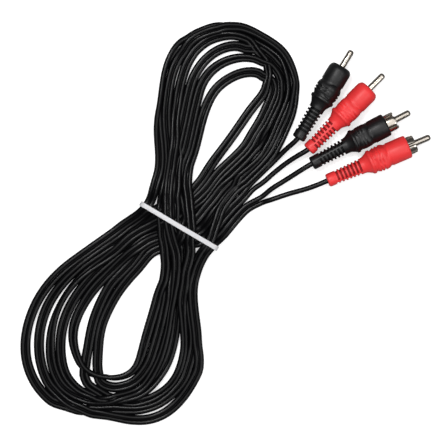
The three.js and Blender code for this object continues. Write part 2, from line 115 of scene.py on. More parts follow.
TAIL_START = COLLAR_LENGTH
CONE_START = TAIL_START + TAIL_LENGTH
BELL_START = CONE_START + CONE_LENGTH
BELL_END = BELL_START + BELL_LENGTH
GRIP_END = BELL_END + GRIP_LENGTH
SHELL_RADIUS = SHELL_BORE + SHELL_WALL
SHELL_LENGTH = SHELL_DEPTH + SHELL_FLOOR
POCKET_RADIUS = SHELL_RADIUS + CLEAR

# Plugs: heading in degrees, nose length, how far the shell stands out of it, whether it is
# round, turns of grip, tail and shell about the axis in degrees, how far the collar reaches
# back, and how much further than usual the pin reaches
PLUGS = {
    "black_1": dict(colour="black", heading=58.6, nose=8.9, out=-1.7, round=True,
                    grip=-21, tail=43, shell=0, back=0.4, pin=2.9),
    "red_1": dict(colour="red", heading=45.0, nose=9.8, out=-1.7, round=True,
                  grip=0, tail=0, shell=0, back=0.6, pin=3.4),
    "black_2": dict(colour="black", heading=27.7, nose=8.0, out=4.9, round=False,
                    grip=0, tail=-15, shell=0, back=1.5, pin=0),
    "red_2": dict(colour="red", heading=23.2, nose=9.9, out=3.7, round=False,
                  grip=22, tail=50, shell=36, back=1.2, pin=0),
}
# The rear end of the first plug laid, then each other plug, its neighbour, how far it lies
# ahead of it, and on which side
FAN_START = (45.1, 30.8)
FAN_STEPS = (("red_1", "black_2", 0.9, 1), ("black_1", "red_1", 0.0, 1),
             ("red_2", "black_2", 2.7, -1))

# Free leads from the hank to the plugs
LEAD_ROUTES = {
    "black_1": [(26.6, 32.9, 2.8), (30.7, 37.2, 4.4), (34.3, 40.2, 5.6)],
    "red_1": [(18.6, 19.9, 1.9), (24.0, 24.8, 2.4), (31.3, 30.6, 3.8), (38.2, 35.0, 5.5)],
    "black_2": [(22.0, 16.4, 2.4), (31.0, 22.1, 3.7), (40.2, 28.0, 5.6)],
    "red_2": [(20.6, 11.2, 2.2), (31.6, 14.9, 3.4), (42.6, 18.0, 5.2)],
}

# Cable: two single leads side by side, with a web between them
LEAD_RADIUS = 1.3
LEAD_SIDES = 16
ROUTE_STEP = 3.5
MESH_STEP = 2.8
LEAD_STEP = 1.2
WEB_TURN = 16.0

# Stations round the two loops, from the left of the waist to its right: the band's outer and
# inner edge, and where each strand lies between them, 0 outside and 1 inside
UPPER_STATIONS = [
    ((-37.5, 17.5), (-15.0, 13.5), (0, 0.25, 0.42, 0.66, 0.85, 1.0)),
    ((-33.9, 27.7), (-16.8, 27.0), (0, 0.27, 0.42, 0.62, 0.82, 1.0)),
    ((-34.2, 39.5), (-13.0, 38.0), (0, 0.22, 0.42, 0.6, 0.8, 1.0)),
    ((-35.0, 51.5), (-9.0, 51.5), (0, 0.16, 0.36, 0.56, 0.76, 1.0)),
    ((-34.0, 63.5), (-4.5, 63.0), (0, 0.12, 0.36, 0.54, 0.73, 1.0)),
    ((-31.8, 77.0), (-0.8, 68.0), (0, 0.1, 0.34, 0.52, 0.7, 1.0)),
    ((-27.2, 87.0), (3.8, 71.0), (0, 0.09, 0.3, 0.5, 0.68, 1.0)),
    ((-18.8, 95.0), (7.0, 72.5), (0, 0.08, 0.17, 0.45, 0.68, 1.0)),
    ((-9.2, 99.2), (9.0, 73.2), (0, 0.05, 0.1, 0.4, 0.67, 1.0)),
    ((0.2, 101.0), (10.8, 73.8), (0, 0.05, 0.1, 0.42, 0.72, 1.0)),
    ((9.8, 100.2), (12.5, 73.2), (0, 0.07, 0.15, 0.42, 0.72, 1.0)),
    ((20.2, 95.5), (14.5, 72.0), (0, 0.11, 0.24, 0.44, 0.7, 1.0)),
    ((29.2, 89.5), (16.5, 70.5), (0, 0.13, 0.28, 0.45, 0.68, 1.0)),
    ((34.6, 82.0), (18.0, 68.5), (0, 0.14, 0.3, 0.46, 0.66, 1.0)),
    ((37.5, 71.5), (18.2, 66.0), (0, 0.14, 0.29, 0.45, 0.64, 1.0)),
    ((36.7, 60.5), (14.8, 63.0), (0, 0.13, 0.28, 0.43, 0.6, 1.0)),
    ((32.2, 48.5), (7.2, 52.5), (0, 0.13, 0.26, 0.39, 0.52, 1.0)),
    ((26.8, 36.5), (1.2, 44.0), (0, 0.13, 0.26, 0.38, 0.5, 1.0)),
    ((19.8, 27.5), (-5.2, 35.5), (0, 0.14, 0.28, 0.42, 0.57, 1.0)),
    ((11.8, 20.0), (-10.8, 27.5), (0, 0.16, 0.33, 0.5, 0.72, 1.0)),
    ((3.2, 10.0), (-15.8, 18.5), (0, 0.18, 0.36, 0.54, 0.76, 1.0)),
]
LOWER_STATIONS = [
    ((-49.8, 2.0), (-32.8, -13.5), (0, 0.2, 0.35, 0.51, 0.67, 0.84, 1.0)),
    ((-60.8, -6.0), (-39.2, -20.5), (0, 0.2, 0.34, 0.5, 0.66, 0.83, 1.0)),
    ((-68.9, -11.5), (-43.8, -25.5), (0, 0.22, 0.35, 0.5, 0.66, 0.83, 1.0)),
    ((-83.2, -22.0), (-50.8, -34.0), (0, 0.17, 0.31, 0.47, 0.65, 0.84, 1.0)),
    ((-93.9, -34.3), (-56.0, -43.5), (0, 0.15, 0.32, 0.47, 0.64, 0.9, 1.0)),
    ((-100.3, -48.5), (-59.5, -52.0), (0, 0.18, 0.345, 0.48, 0.62, 0.9, 1.0)),
    ((-102.2, -60.5), (-60.2, -60.5), (0, 0.19, 0.35, 0.485, 0.62, 0.89, 1.0)),
    ((-100.8, -72.0), (-59.5, -68.5), (0, 0.19, 0.34, 0.475, 0.66, 0.88, 1.0)),
    ((-94.6, -84.3), (-57.8, -74.0), (0, 0.18, 0.31, 0.45, 0.62, 0.8, 1.0)),
    ((-86.8, -90.7), (-56.2, -74.8), (0, 0.17, 0.33, 0.48, 0.64, 0.8, 1.0)),
    ((-76.0, -95.7), (-55.2, -75.0), (0, 0.14, 0.32, 0.47, 0.61, 0.77, 1.0)),
    ((-65.8, -97.8), (-54.2, -75.0), (0, 0.14, 0.31, 0.46, 0.6, 0.75, 1.0)),
    ((-54.6, -99.0), (-53.0, -74.8), (0, 0.15, 0.3, 0.46, 0.6, 0.74, 1.0)),
    ((-42.8, -101.0), (-50.8, -73.5), (0, 0.25, 0.36, 0.48, 0.61, 0.76, 1.0)),
    ((-29.8, -98.0), (-48.8, -73.2), (0, 0.3, 0.4, 0.56, 0.68, 0.82, 1.0)),
    ((-18.9, -88.5), (-47.0, -72.0), (0, 0.19, 0.3, 0.67, 0.77, 0.88, 1.0)),
    ((-12.5, -76.5), (-44.5, -68.0), (0, 0.1, 0.22, 0.58, 0.72, 0.86, 1.0)),
    ((-10.8, -63.0), (-42.5, -61.0), (0, 0.1, 0.21, 0.42, 0.6, 0.8, 1.0)),
    ((-11.8, -51.4), (-39.2, -51.0), (0, 0.09, 0.2, 0.45, 0.62, 0.8, 1.0)),
    ((-13.2, -42.8), (-36.5, -42.0), (0, 0.1, 0.21, 0.42, 0.6, 0.8, 1.0)),
    ((-13.5, -32.2), (-33.8, -33.0), (0, 0.12, 0.26, 0.44, 0.6, 0.8, 1.0)),
    ((-11.8, -23.5), (-32.0, -24.0), (0, 0.1, 0.22, 0.42, 0.6, 0.8, 1.0)),
    ((-7.2, -15.0), (-31.8, -16.0), (0, 0.12, 0.34, 0.5, 0.72, 0.86, 1.0)),
]
FIRST_END = [(11.8, 16.5), (7.2, 10.5), (1.2, 4.0), (-4.8, -3.0)]
SECOND_END = [(-3.2, -7.5), (2.8, 0.0), (8.2, 6.0), (13.2, 9.5), (17.2, 11.2)]
FIRST_END_PILE = 5
SECOND_END_PILE = 7
# The station at the far end of each loop, where a pass turns back
UPPER_TURNING = 9
LOWER_TURNING = 12

# Tie: the ends of its span in plan, its strap, and its head under the hank
TIE_LEFT = (-41.7, 10.3)
TIE_RIGHT = (-4.3, -11.8)
TIE_WIDTH = 2.4
TIE_THICKNESS = 1.0
TIE_FLOOR = 3.0
STRAP_HOLD = 3.2
STRAP_SLACK = 0.08
STRAP_OFF_FLOOR = 0.1
STRAP_POINTS = 180
STRAP_EDGE = 0.22
HEAD_SIZE = (4.6, 4.4, 3.4)
HEAD_PLACE = -9.0
HEAD_WALL = 0.7
HEAD_RECESS = 0.5
HEAD_EDGE = 0.35

# The winding, pass by pass. A pass round a loop has the slots that it lies in, each with the
# station where it leaves the first one and reaches the next, and its place in the pile; a pass
# through the waist has its share of the width, below or above.
WINDING = [
    ("first_end",), ("below", 0.83),
    ("lower", ((6, 7), (5, 9)), 5), ("above", 0.575),
    ("upper", ((4, 9), (3, 13)), 2), ("below", 0.46),
    ("lower", ((3, 8), (3, 16)), 2), ("above", 0.49),
    ("upper", ((3, 9), (2, 13)), 3), ("below", 0.59),
    ("lower", ((4, 6.5), (6, 9)), 6), ("above", 0.28),
    ("upper", ((1, 5), (0, 13)), 4), ("below", 0.905),
    ("lower_back", ((0, 8), (1, 12.5)), 3), ("above", 0.105),
    ("upper", ((0, 5), (1, 13)), 2), ("below", 0.72),
    ("lower", ((5, 6.5), (4, 8.5), (2, 15)), 4), ("above", 0.675),
    ("upper", ((5, 10.5), (4, 13)), 3), ("below", 0.33),
    ("lower", ((2, 9), (4, 16)), 7), ("above", 0.38),
    ("upper", ((2, 10), (5, 14)), 6), ("below", 0.2),
    ("lower", ((1, 8), (0, 12.5)), 5), ("above", 0.915),
    ("second_end",),
]

# How the pile is laid: rise for each strand below, in the loops and at the waist, and rise
# of what crosses above, within the reach of the waist and then fading over the next stretch
PILE_STEP = 0.9
WAIST_PILE_STEP = 0.4
CROSSING_RISE = 5.0
WAIST_REACH = 30.0
WAIST_FADE = 30.0
OFF_FLOOR = 0.1
ON_TIE = 0.05
TIE_REACH = 3.6
HEAD_REACH = (4.5, 3.4)
# How the pile is relaxed
LINE_SMOOTHING = (0.25, -0.25, 0.02)
LINE_ROUNDS = 8
HEIGHT_ROUNDS = 30
RELAX_ROUNDS = 260
PAIRING_ROUNDS = 8
CONTACT_ROUNDS = 3
CONTACT_PUSH = 1.3
PAIR_REACH = 4.0
PAIR_APART = 3
BOX_MARGIN = 0.05
PLAN_PULL = 0.045
PLAN_STIFFNESS = 0.10
HEIGHT_STIFFNESS = 0.45
SETTLING = 0.06
# The twin cable's roll along its run: size in radians, wave in millimetres, start
ROLLS = ((0.75, 331.0, 0.6), (0.45, 173.0, 2.2), (0.3, 97.0, 4.0))
ROLL_PULL = 0.12
ROLL_FROM_TIE = 16.0
ROLL_FADE = 30.0
ROLL_END_FADE = 60.0

# Stage, in metres: lamps by name, place, size and watts
LAMPS = (("sky", (0.1, -0.05, 1.25), (1.3, 1.3), 10.0),
         ("key", (-0.22, 0.30, 0.95), (0.14, 0.28), 4.2),
         ("rim", (0.60, -0.30, 0.7), (0.2, 0.3), 1.4))
FLOOR_SIDE = 4.0
FLOOR_DROP = 0.00005
FLOOR_GLOW = 0.52
CAMERA_HEIGHT = 1.2
SENSOR_WIDTH = 36
FRAME_SIDE = 0.224
FRAME_LEVEL = 0.005


class PhonoCableSizes(bpy.types.PropertyGroup):
    """Sizes that a user would change"""

    lead_diameter: bpy.props.FloatProperty(
        name="Lead diameter", description="Across one single lead of the twin cable",
        default=2 * LEAD_RADIUS * MM, unit="LENGTH", subtype="DISTANCE")
    slot_width: bpy.props.FloatProperty(
        name="Relief slot width", description="Width of one slot of the strain relief",
        default=SLOT_WIDTH * MM, unit="LENGTH", subtype="DISTANCE")
    pin_radius: bpy.props.FloatProperty(
        name="Pin radius", description="Radius of the centre pin",
        default=PIN_RADIUS * MM, unit="LENGTH", subtype="DISTANCE")
    edge_softness: bpy.props.FloatProperty(
        name="Moulded edge", description="Radius of the boots' moulded edges",
        default=0.14 * MM, unit="LENGTH", subtype="DISTANCE")


class PhonoCableColours(bpy.types.PropertyGroup):
    """Colours of the visible finishes"""

    red_boot: bpy.props.FloatVectorProperty(
        name="Red boot", description="Colour of the red plugs' boots",
        subtype="COLOR", size=3, min=0, max=1, default=(0.86, 0.04, 0.042))
    black_boot: bpy.props.FloatVectorProperty(
        name="Black boot", description="Colour of the black plugs' boots",
        subtype="COLOR", size=3, min=0, max=1, default=(0.0042, 0.0042, 0.0048))
    jacket: bpy.props.FloatVectorProperty(
        name="Jacket", description="Colour of the cable's jacket",
        subtype="COLOR", size=3, min=0, max=1, default=(0.0025, 0.0025, 0.003))
    nickel: bpy.props.FloatVectorProperty(
        name="Nickel", description="Colour of the plated pins and shells",
        subtype="COLOR", size=3, min=0, max=1, default=(0.41, 0.375, 0.33))
    tie: bpy.props.FloatVectorProperty(
        name="Tie", description="Colour of the nylon tie",
        subtype="COLOR", size=3, min=0, max=1, default=(0.68, 0.68, 0.70))


def sizes():
    return bpy.context.scene.phono_cable_sizes


def colours():
    return bpy.context.scene.phono_cable_colours


# Finishes
def new_finish(name):
    """A material with its nodes, links and shader, or the one already made with None for these.
    """
    finish = bpy.data.materials.get(name)
    if finish:
        return finish, None, None, None
    finish = bpy.data.materials.new(name)
    finish.use_nodes = True
    nodes, links = finish.node_tree.nodes, finish.node_tree.links
    return finish, nodes, links, nodes["Principled BSDF"]


def grain(nodes, links, scale, detail=3.0):
    place = nodes.new("ShaderNodeTexCoord")
    noise = nodes.new("ShaderNodeTexNoise")
    noise.inputs["Scale"].default_value = scale
    noise.inputs["Detail"].default_value = detail
    links.new(place.outputs["Object"], noise.inputs["Vector"])
    return noise


def spread(nodes, links, source, low, high):
    """The source's 0 to 1 spread between two values."""
    span = nodes.new("ShaderNodeMapRange")
    span.inputs["To Min"].default_value = low
    span.inputs["To Max"].default_value = high
    links.new(source, span.inputs["Value"])
    return span.outputs["Result"]


def roughen(nodes, links, shader, source, strength, depth):
    bump = nodes.new("ShaderNodeBump")
    bump.inputs["Strength"].default_value = strength
    bump.inputs["Distance"].default_value = depth
    links.new(source, bump.inputs["Height"])
    links.new(bump.outputs["Normal"], shader.inputs["Normal"])


def tinted(nodes, links, shader, source, dark, light):
    ramp = nodes.new("ShaderNodeValToRGB")
    ramp.color_ramp.elements[0].position = 0.3
    ramp.color_ramp.elements[0].color = (*dark, 1)
    ramp.color_ramp.elements[1].position = 0.7
    ramp.color_ramp.elements[1].color = (*light, 1)
    links.new(source, ramp.inputs["Fac"])
    links.new(ramp.outputs["Color"], shader.inputs["Base Color"])


def shaded(colour, share):
    return tuple(min(1.0, channel * share) for channel in colour)


def plastic(name, colour, rough_low, rough_high, grain_scale, grain_depth, tint=0.12,
            shine=0.5):
    """Moulded or extruded plastic: a faint mottle, uneven gloss and a fine skin."""
    finish, nodes, links, shader = new_finish(name)
    if nodes is None:
        return finish
    mottle = grain(nodes, links, 140.0)
    tinted(nodes, links, shader, mottle.outputs["Fac"], shaded(colour, 1 - tint),
           shaded(colour, 1 + tint))
    links.new(spread(nodes, links, mottle.outputs["Fac"], rough_low, rough_high),
              shader.inputs["Roughness"])
    shader.inputs["Specular IOR Level"].default_value = shine
    skin = grain(nodes, links, grain_scale, 5.0)
    roughen(nodes, links, shader, skin.outputs["Fac"], 0.25, grain_depth)
    return finish


def jacket_finish():
    return plastic("Cable jacket", colours().jacket, 0.20, 0.28, 900.0, 0.00003, shine=0.16)


def boot_finish(colour_name):
    colour = colours().red_boot if colour_name == "red" else colours().black_boot
    return plastic(f"Moulded boot {colour_name}", colour, 0.38, 0.48, 1400.0, 0.00004, 0.05,
                   shine=0.36)


def slot_painted_shade_finish(colour_name):
    """The same plastic down in the relief slots, its colour cut to a third and its gloss
    dulled: painted shade.
    """
    colour = colours().red_boot if colour_name == "red" else colours().black_boot
    return plastic(f"Relief slots painted shade {colour_name}", shaded(colour, 0.32), 0.55, 0.7, 900.0,
                   0.00004, 0.1, shine=0.15)


def nickel_finish():
    finish, nodes, links, shader = new_finish("Nickel plate")
    if nodes is None:
        return finish
    shader.inputs["Metallic"].default_value = 1.0
    cloud = grain(nodes, links, 260.0)
    colour = colours().nickel
    tinted(nodes, links, shader, cloud.outputs["Fac"], shaded(colour, 0.94),
           shaded(colour, 1.06))
    links.new(spread(nodes, links, cloud.outputs["Fac"], 0.16, 0.26),
              shader.inputs["Roughness"])
    fine = grain(nodes, links, 2600.0, 2.0)
    roughen(nodes, links, shader, fine.outputs["Fac"], 0.05, 0.000004)
    return finish


def nylon_finish():
    finish = plastic("Nylon tie", colours().tie, 0.38, 0.5, 1100.0, 0.00003, 0.03)
    shader = finish.node_tree.nodes["Principled BSDF"]
    shader.inputs["Subsurface Weight"].default_value = 0.15
    shader.inputs["Subsurface Radius"].default_value = (0.0012, 0.001, 0.0009)
    shader.inputs["Subsurface Scale"].default_value = 1.0
    return finish


def copper_finish():
    """Twisted copper strands: fine slanting ridges."""
    finish, nodes, links, shader = new_finish("Copper strands")
    if nodes is None:
        return finish
    shader.inputs["Metallic"].default_value = 1.0
    place = nodes.new("ShaderNodeTexCoord")
    ridges = nodes.new("ShaderNodeTexWave")
    ridges.bands_direction = "DIAGONAL"
    ridges.inputs["Scale"].default_value = 900.0
    ridges.inputs["Distortion"].default_value = 1.5
    links.new(place.outputs["Object"], ridges.inputs["Vector"])
    tinted(nodes, links, shader, ridges.outputs["Fac"], (0.42, 0.17, 0.08),
           (0.80, 0.40, 0.23))
    shader.inputs["Roughness"].default_value = 0.35
    roughen(nodes, links, shader, ridges.outputs["Fac"], 0.6, 0.00008)
    return finish


# Making pieces
def nothing_selected():
    if bpy.context.mode != "OBJECT":
        bpy.ops.object.mode_set(mode="OBJECT")
    bpy.ops.object.select_all(action="DESELECT")


def only(piece):
    nothing_selected()
    piece.select_set(True)
    bpy.context.view_layer.objects.active = piece


def settle(piece):
    """Puts the piece's place into its mesh."""
    only(piece)
    bpy.ops.object.transform_apply(location=True, rotation=True, scale=True)


def from_points(name, vertices, faces):
    mesh = bpy.data.meshes.new(name)
    mesh.from_pydata(vertices, [], faces)
    mesh.update()
    piece = bpy.data.objects.new(name, mesh)
    bpy.context.scene.collection.objects.link(piece)
    return piece


def dress(piece, finish, angle=35.0):
    """Gives a piece its finish, and smooth shading except at edges sharper than the angle."""
    piece.data.materials.clear()
    piece.data.materials.append(finish)
    only(piece)
    bpy.ops.object.shade_smooth_by_angle(angle=math.radians(angle))


def turned(name, profile, segments):
    """A solid of revolution about X: one vertex extruded along the profile of (station,
    radius) points in millimetres, then spun."""
    nothing_selected()
    bpy.ops.mesh.primitive_plane_add(size=MM, location=(0, 0, 0))
    piece = bpy.context.object
    piece.name = name
    piece.data.name = name
    bpy.ops.object.mode_set(mode="EDIT")
    bpy.ops.mesh.select_mode(type="VERT")
    bpy.ops.mesh.select_all(action="SELECT")
    bpy.ops.mesh.merge(type="CENTER")
    start = Vector((profile[0][0] * MM, 0, profile[0][1] * MM))
    bpy.ops.transform.translate(value=start)
    for (station, radius), (further, wider) in zip(profile, profile[1:]):
        step = ((further - station) * MM, 0, (wider - radius) * MM)
        bpy.ops.mesh.extrude_region_move(TRANSFORM_OT_translate={"value": step})
    bpy.ops.mesh.select_all(action="SELECT")
    bpy.ops.mesh.spin(steps=segments, angle=2 * math.pi, center=(0, 0, 0), axis=(1, 0, 0))
    bpy.ops.mesh.select_all(action="SELECT")
    bpy.ops.mesh.remove_doubles(threshold=0.002 * MM)
    bpy.ops.mesh.normals_make_consistent(inside=False)
    bpy.ops.object.mode_set(mode="OBJECT")
    return piece


def block(name, size, place):
    """A cube primitive of the given size, in millimetres."""
    nothing_selected()
    bpy.ops.mesh.primitive_cube_add(size=1, location=[value * MM for value in place])
    piece = bpy.context.object
    piece.name = name
    piece.scale = [value * MM for value in size]
    settle(piece)
    return piece


def turn_about_axis(piece, degrees):
    piece.data.transform(Matrix.Rotation(math.radians(degrees), 4, "X"))


def sector(name, start, length, inner, outer, arc):
    """A slot's solid: an upright rectangle spun through the arc, its middle at the top."""
    nothing_selected()
    bpy.ops.mesh.primitive_plane_add(size=1, location=(0, 0, 0))
    piece = bpy.context.object
    piece.name = name
    piece.scale = (length * MM, (outer - inner) * MM, 1)
    piece.rotation_euler = (math.pi / 2, 0, 0)
    piece.location = ((start + length / 2) * MM, 0, (inner + outer) / 2 * MM)
    settle(piece)
    turn_about_axis(piece, -arc / 2)
    only(piece)
    bpy.ops.object.mode_set(mode="EDIT")
    bpy.ops.mesh.select_mode(type="VERT")
    bpy.ops.mesh.select_all(action="SELECT")
    bpy.ops.mesh.spin(steps=14, angle=-math.radians(arc), center=(0, 0, 0), axis=(1, 0, 0))
    bpy.ops.mesh.select_all(action="SELECT")
    bpy.ops.mesh.normals_make_consistent(inside=False)
    bpy.ops.object.mode_set(mode="OBJECT")
    heights = [vertex.co.z for vertex in piece.data.vertices]
    if max(heights) + min(heights) < 0:
        turn_about_axis(piece, 180)
    return piece


def joined(pieces, name):
    nothing_selected()
    for piece in pieces:
        piece.select_set(True)
    bpy.context.view_layer.objects.active = pieces[0]
    bpy.ops.object.join()
    whole = bpy.context.object
    whole.name = name
    return whole


def combine(piece, other, operation):
    only(piece)
    change = piece.modifiers.new(operation.title(), "BOOLEAN")
    change.operation = operation
    change.solver = "EXACT"
    change.use_self = operation == "DIFFERENCE"
    change.object = other
    bpy.ops.object.modifier_apply(modifier=change.name)
    bpy.data.objects.remove(other, do_unlink=True)


def soften(piece, width, segments=2, angle=40.0):
    only(piece)
    edge = piece.modifiers.new("Edges", "BEVEL")
    edge.width = width
    edge.segments = segments
    edge.limit_method = "ANGLE"
    edge.angle_limit = math.radians(angle)
    edge.harden_normals = False
    bpy.ops.object.modifier_apply(modifier=edge.name)


def corner(station, radius, centre_station, centre_radius, from_turn, to_turn, count=5):
    """Points of a rounded corner in a profile, by its centre and its two turns."""
    return [(centre_station + station * math.sin(math.radians(turn)),
             centre_radius + radius * math.cos(math.radians(turn)))
            for turn in np.linspace(from_turn, to_turn, count)]


# Plugs
def grip_reach(turn):
    inner = NOSE_RADIUS - GRIP_CORNER_RADIUS
    angle = math.radians(turn)
    return inner * (abs(math.cos(angle)) + abs(math.sin(angle))) + GRIP_CORNER_RADIUS


def place_plugs():
    """Each plug's rear end, side by side in a fan, and the height of its axis."""
    rear = {"black_2": Vector(FAN_START)}
    for name, neighbour, along, side in FAN_STEPS:
        heading = math.radians(PLUGS[neighbour]["heading"])
        between = abs(math.radians(PLUGS[name]["heading"]) - heading)
        widest = BELL_RADIUS + grip_reach(45) + CLEAR - BELL_END * math.sin(between)
        spacing = max(2 * COLLAR_RADIUS + CLEAR, widest)
        forward = Vector((math.cos(heading), math.sin(heading)))
        across = Vector((-forward.y, forward.x)) * side
        rear[name] = rear[neighbour] + forward * along + across * spacing
    places = {}
    for name, plug in PLUGS.items():
        height = max(BELL_RADIUS, grip_reach(plug["grip"]))
        places[name] = Vector((rear[name].x, rear[name].y, height))
    return places


PLUG_PLACES = place_plugs()


def plug_matrix(name):
    return (Matrix.Translation(PLUG_PLACES[name] * MM)
            @ Matrix.Rotation(math.radians(PLUGS[name]["heading"]), 4, "Z"))


def stations(name):
    plug = PLUGS[name]
    boot_end = GRIP_END + plug["nose"]
    shell_rear = boot_end + plug["out"] - SHELL_LENGTH
    return boot_end, shell_rear, shell_rear - STRIPPED_LENGTH


def on_plug(piece, name):
    """Moves a piece from the plug's own axis to its place in the fan."""
    piece.data.transform(plug_matrix(name))
    piece.data.update()
    return piece


def boot_body(name):
    """The turned body of the boot: collar, tail, cone, bell and nose, hollow inside."""
    plug = PLUGS[name]
    boot_end, shell_rear, lead_end = stations(name)
    bore = LEAD_RADIUS + CLEAR
    chamber = SOLDER_CHAMBER_RADIUS
    rear = -plug["back"]
    core = NOSE_RADIUS - CLEAR
    if plug["round"]:
        lip = NOSE_RADIUS - ROUND_NOSE_INWARD
        nose = corner(ROUND_NOSE_EDGE, ROUND_NOSE_INWARD, boot_end - ROUND_NOSE_EDGE, lip,
                      0, 90, 10)
        nose += [(boot_end, lip - 0.5), (shell_rear + SHELL_LENGTH + CLEAR, lip - 0.5)]
        nose += [(shell_rear + SHELL_LENGTH + CLEAR, POCKET_RADIUS)]
    else:
        nose = corner(SQUARE_NOSE_EDGE, SQUARE_NOSE_EDGE, boot_end - SQUARE_NOSE_EDGE,
                      NOSE_RADIUS - SQUARE_NOSE_EDGE, 0, 90, 5)
        nose += [(boot_end, POCKET_RADIUS)]
    profile = [
        (lead_end - CLEAR, bore), (rear, bore),
        *corner(-0.9, 0.9, rear + 0.9, COLLAR_RADIUS - 0.9, 90, 0, 6),
        (TAIL_START, COLLAR_RADIUS),
        (CONE_START, TAIL_FRONT_RADIUS),
        (CONE_START + 1.1, TAIL_FRONT_RADIUS + 0.22),
        (BELL_START - 0.7, CONE_FRONT_RADIUS - 0.35),
        *corner(-0.7, 0.7, BELL_START + 0.7, BELL_RADIUS - 0.7, 75, 0, 4),
        *corner(0.45, 0.45, BELL_END - 0.45, BELL_RADIUS - 0.45, 0, 70, 4),
        (BELL_END, core), (GRIP_END - 0.5, core), (GRIP_END - 0.5, NOSE_RADIUS),
        *nose, (shell_rear - CLEAR, POCKET_RADIUS),
        (shell_rear - CLEAR, chamber), (lead_end - CLEAR, chamber), (lead_end - CLEAR, bore),
    ]
    return turned(f"{name}_boot_moulding", profile, TURNED_SIDES)


def grip_panel(name):
    """The square grip with its round corners; its rings and thumb grooves are cut with the
    boot's other cuts.
    """
    start = BELL_START + BELL_LENGTH / 2
    length = GRIP_END - start
    panel = block("grip", (length, 2 * NOSE_RADIUS, 2 * NOSE_RADIUS),
                  (start + length / 2, 0, 0))
    only(panel)
    bpy.ops.object.mode_set(mode="EDIT")
    bpy.ops.mesh.select_all(action="DESELECT")
    bpy.ops.object.mode_set(mode="OBJECT")
    for edge in panel.data.edges:
        ends = [panel.data.vertices[i].co for i in edge.vertices]
        edge.select = abs(ends[0].x - ends[1].x) > 0.5 * length * MM
    bpy.ops.object.mode_set(mode="EDIT")
    bpy.ops.mesh.select_mode(type="EDGE")
    bpy.ops.mesh.bevel(offset=GRIP_CORNER_RADIUS * MM, segments=9, affect="EDGES")
    bpy.ops.mesh.select_all(action="DESELECT")
    bpy.ops.object.mode_set(mode="OBJECT")
    for face in panel.data.polygons:
        face.select = abs(face.normal.x) > 0.9
    bpy.ops.object.mode_set(mode="EDIT")
    bpy.ops.mesh.select_mode(type="FACE")
    bpy.ops.mesh.inset(thickness=0.3 * MM, depth=0)
    bpy.ops.object.mode_set(mode="OBJECT")
    middle = (start + length / 2) * MM
    for face in panel.data.polygons:
        if face.select:
            for index in face.vertices:
                vertex = panel.data.vertices[index]
                vertex.co.x += (0.3 if vertex.co.x > middle else -0.3) * MM
    turn_about_axis(panel, PLUGS[name]["grip"])
    return panel


def boot_cuts(name):
    """Rings and thumb grooves of the grip, and the strain relief's slots on both sides."""
    plug = PLUGS[name]
    cuts = []
    for i in range(RING_COUNT):
        start = BELL_END + RING_FIRST + RING_PITCH * i
        cuts.append(turned("ring", [
            (start, RING_FLOOR), (start, RING_FLOOR + 3), (start + RING_WIDTH, RING_FLOOR + 3),
            (start + RING_WIDTH, RING_FLOOR), (start, RING_FLOOR)], TURNED_SIDES))
    for i in range(THUMB_COUNT):
        station = BELL_END + THUMB_FIRST + RING_PITCH * i
        for side in (1, -1):
            groove = block("thumb", THUMB_SIZE, (station, 0, side * NOSE_RADIUS))
            turn_about_axis(groove, plug["grip"])
            cuts.append(groove)
    pitch = TAIL_LENGTH / SLOT_COUNT
    width = sizes().slot_width / MM
    for i in range(2 * SLOT_COUNT):
        start = TAIL_START - SLOTS_SET_BACK + pitch * (i + 1) / 2 - width / 2
        slot = sector("slot", start, width, SLOT_FLOOR, TAIL_FRONT_RADIUS + 1, SLOT_ARC)
        turn_about_axis(slot, plug["tail"] + 90 + 180 * (i % 2))
        cuts.append(slot)
    return joined(cuts, "cuts")


def mark_painted_shade_recesses(boot):
    """Gives the second finish, painted shade, to the faces down in the relief slots."""
    for face in boot.data.polygons:
        place = face.center / MM
        radius = math.hypot(place.y, place.z)
        if TAIL_START - SLOTS_SET_BACK < place.x < CONE_START:
            share = max(0, place.x - TAIL_START) / TAIL_LENGTH
            outer = COLLAR_RADIUS + (TAIL_FRONT_RADIUS - COLLAR_RADIUS) * share
            if LEAD_RADIUS + CLEAR + 0.1 < radius < outer - 0.25:
                face.material_index = 1


def make_boot(name):
    panel_inside = [(BELL_START, 0), (BELL_START, NOSE_RADIUS - 2 * CLEAR),
                    (GRIP_END + 1, NOSE_RADIUS - 2 * CLEAR), (GRIP_END + 1, 0)]
    panel = grip_panel(name)
    combine(panel, turned("core", panel_inside, TURNED_SIDES), "DIFFERENCE")
    boot = boot_body(name)
    combine(boot, panel, "UNION")
    combine(boot, boot_cuts(name), "DIFFERENCE")
    soften(boot, sizes().edge_softness)
    boot.name = f"{name}_boot_moulding"
    dress(boot, boot_finish(PLUGS[name]["colour"]))
    # Second material: the boot plastic darkened as painted shade for the faces in the relief
    # slots
    boot.data.materials.append(slot_painted_shade_finish(PLUGS[name]["colour"]))
    mark_painted_shade_recesses(boot)
    on_plug(boot, name)
    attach(boot, "root")
    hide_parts(f"{name}_boot")
    return boot


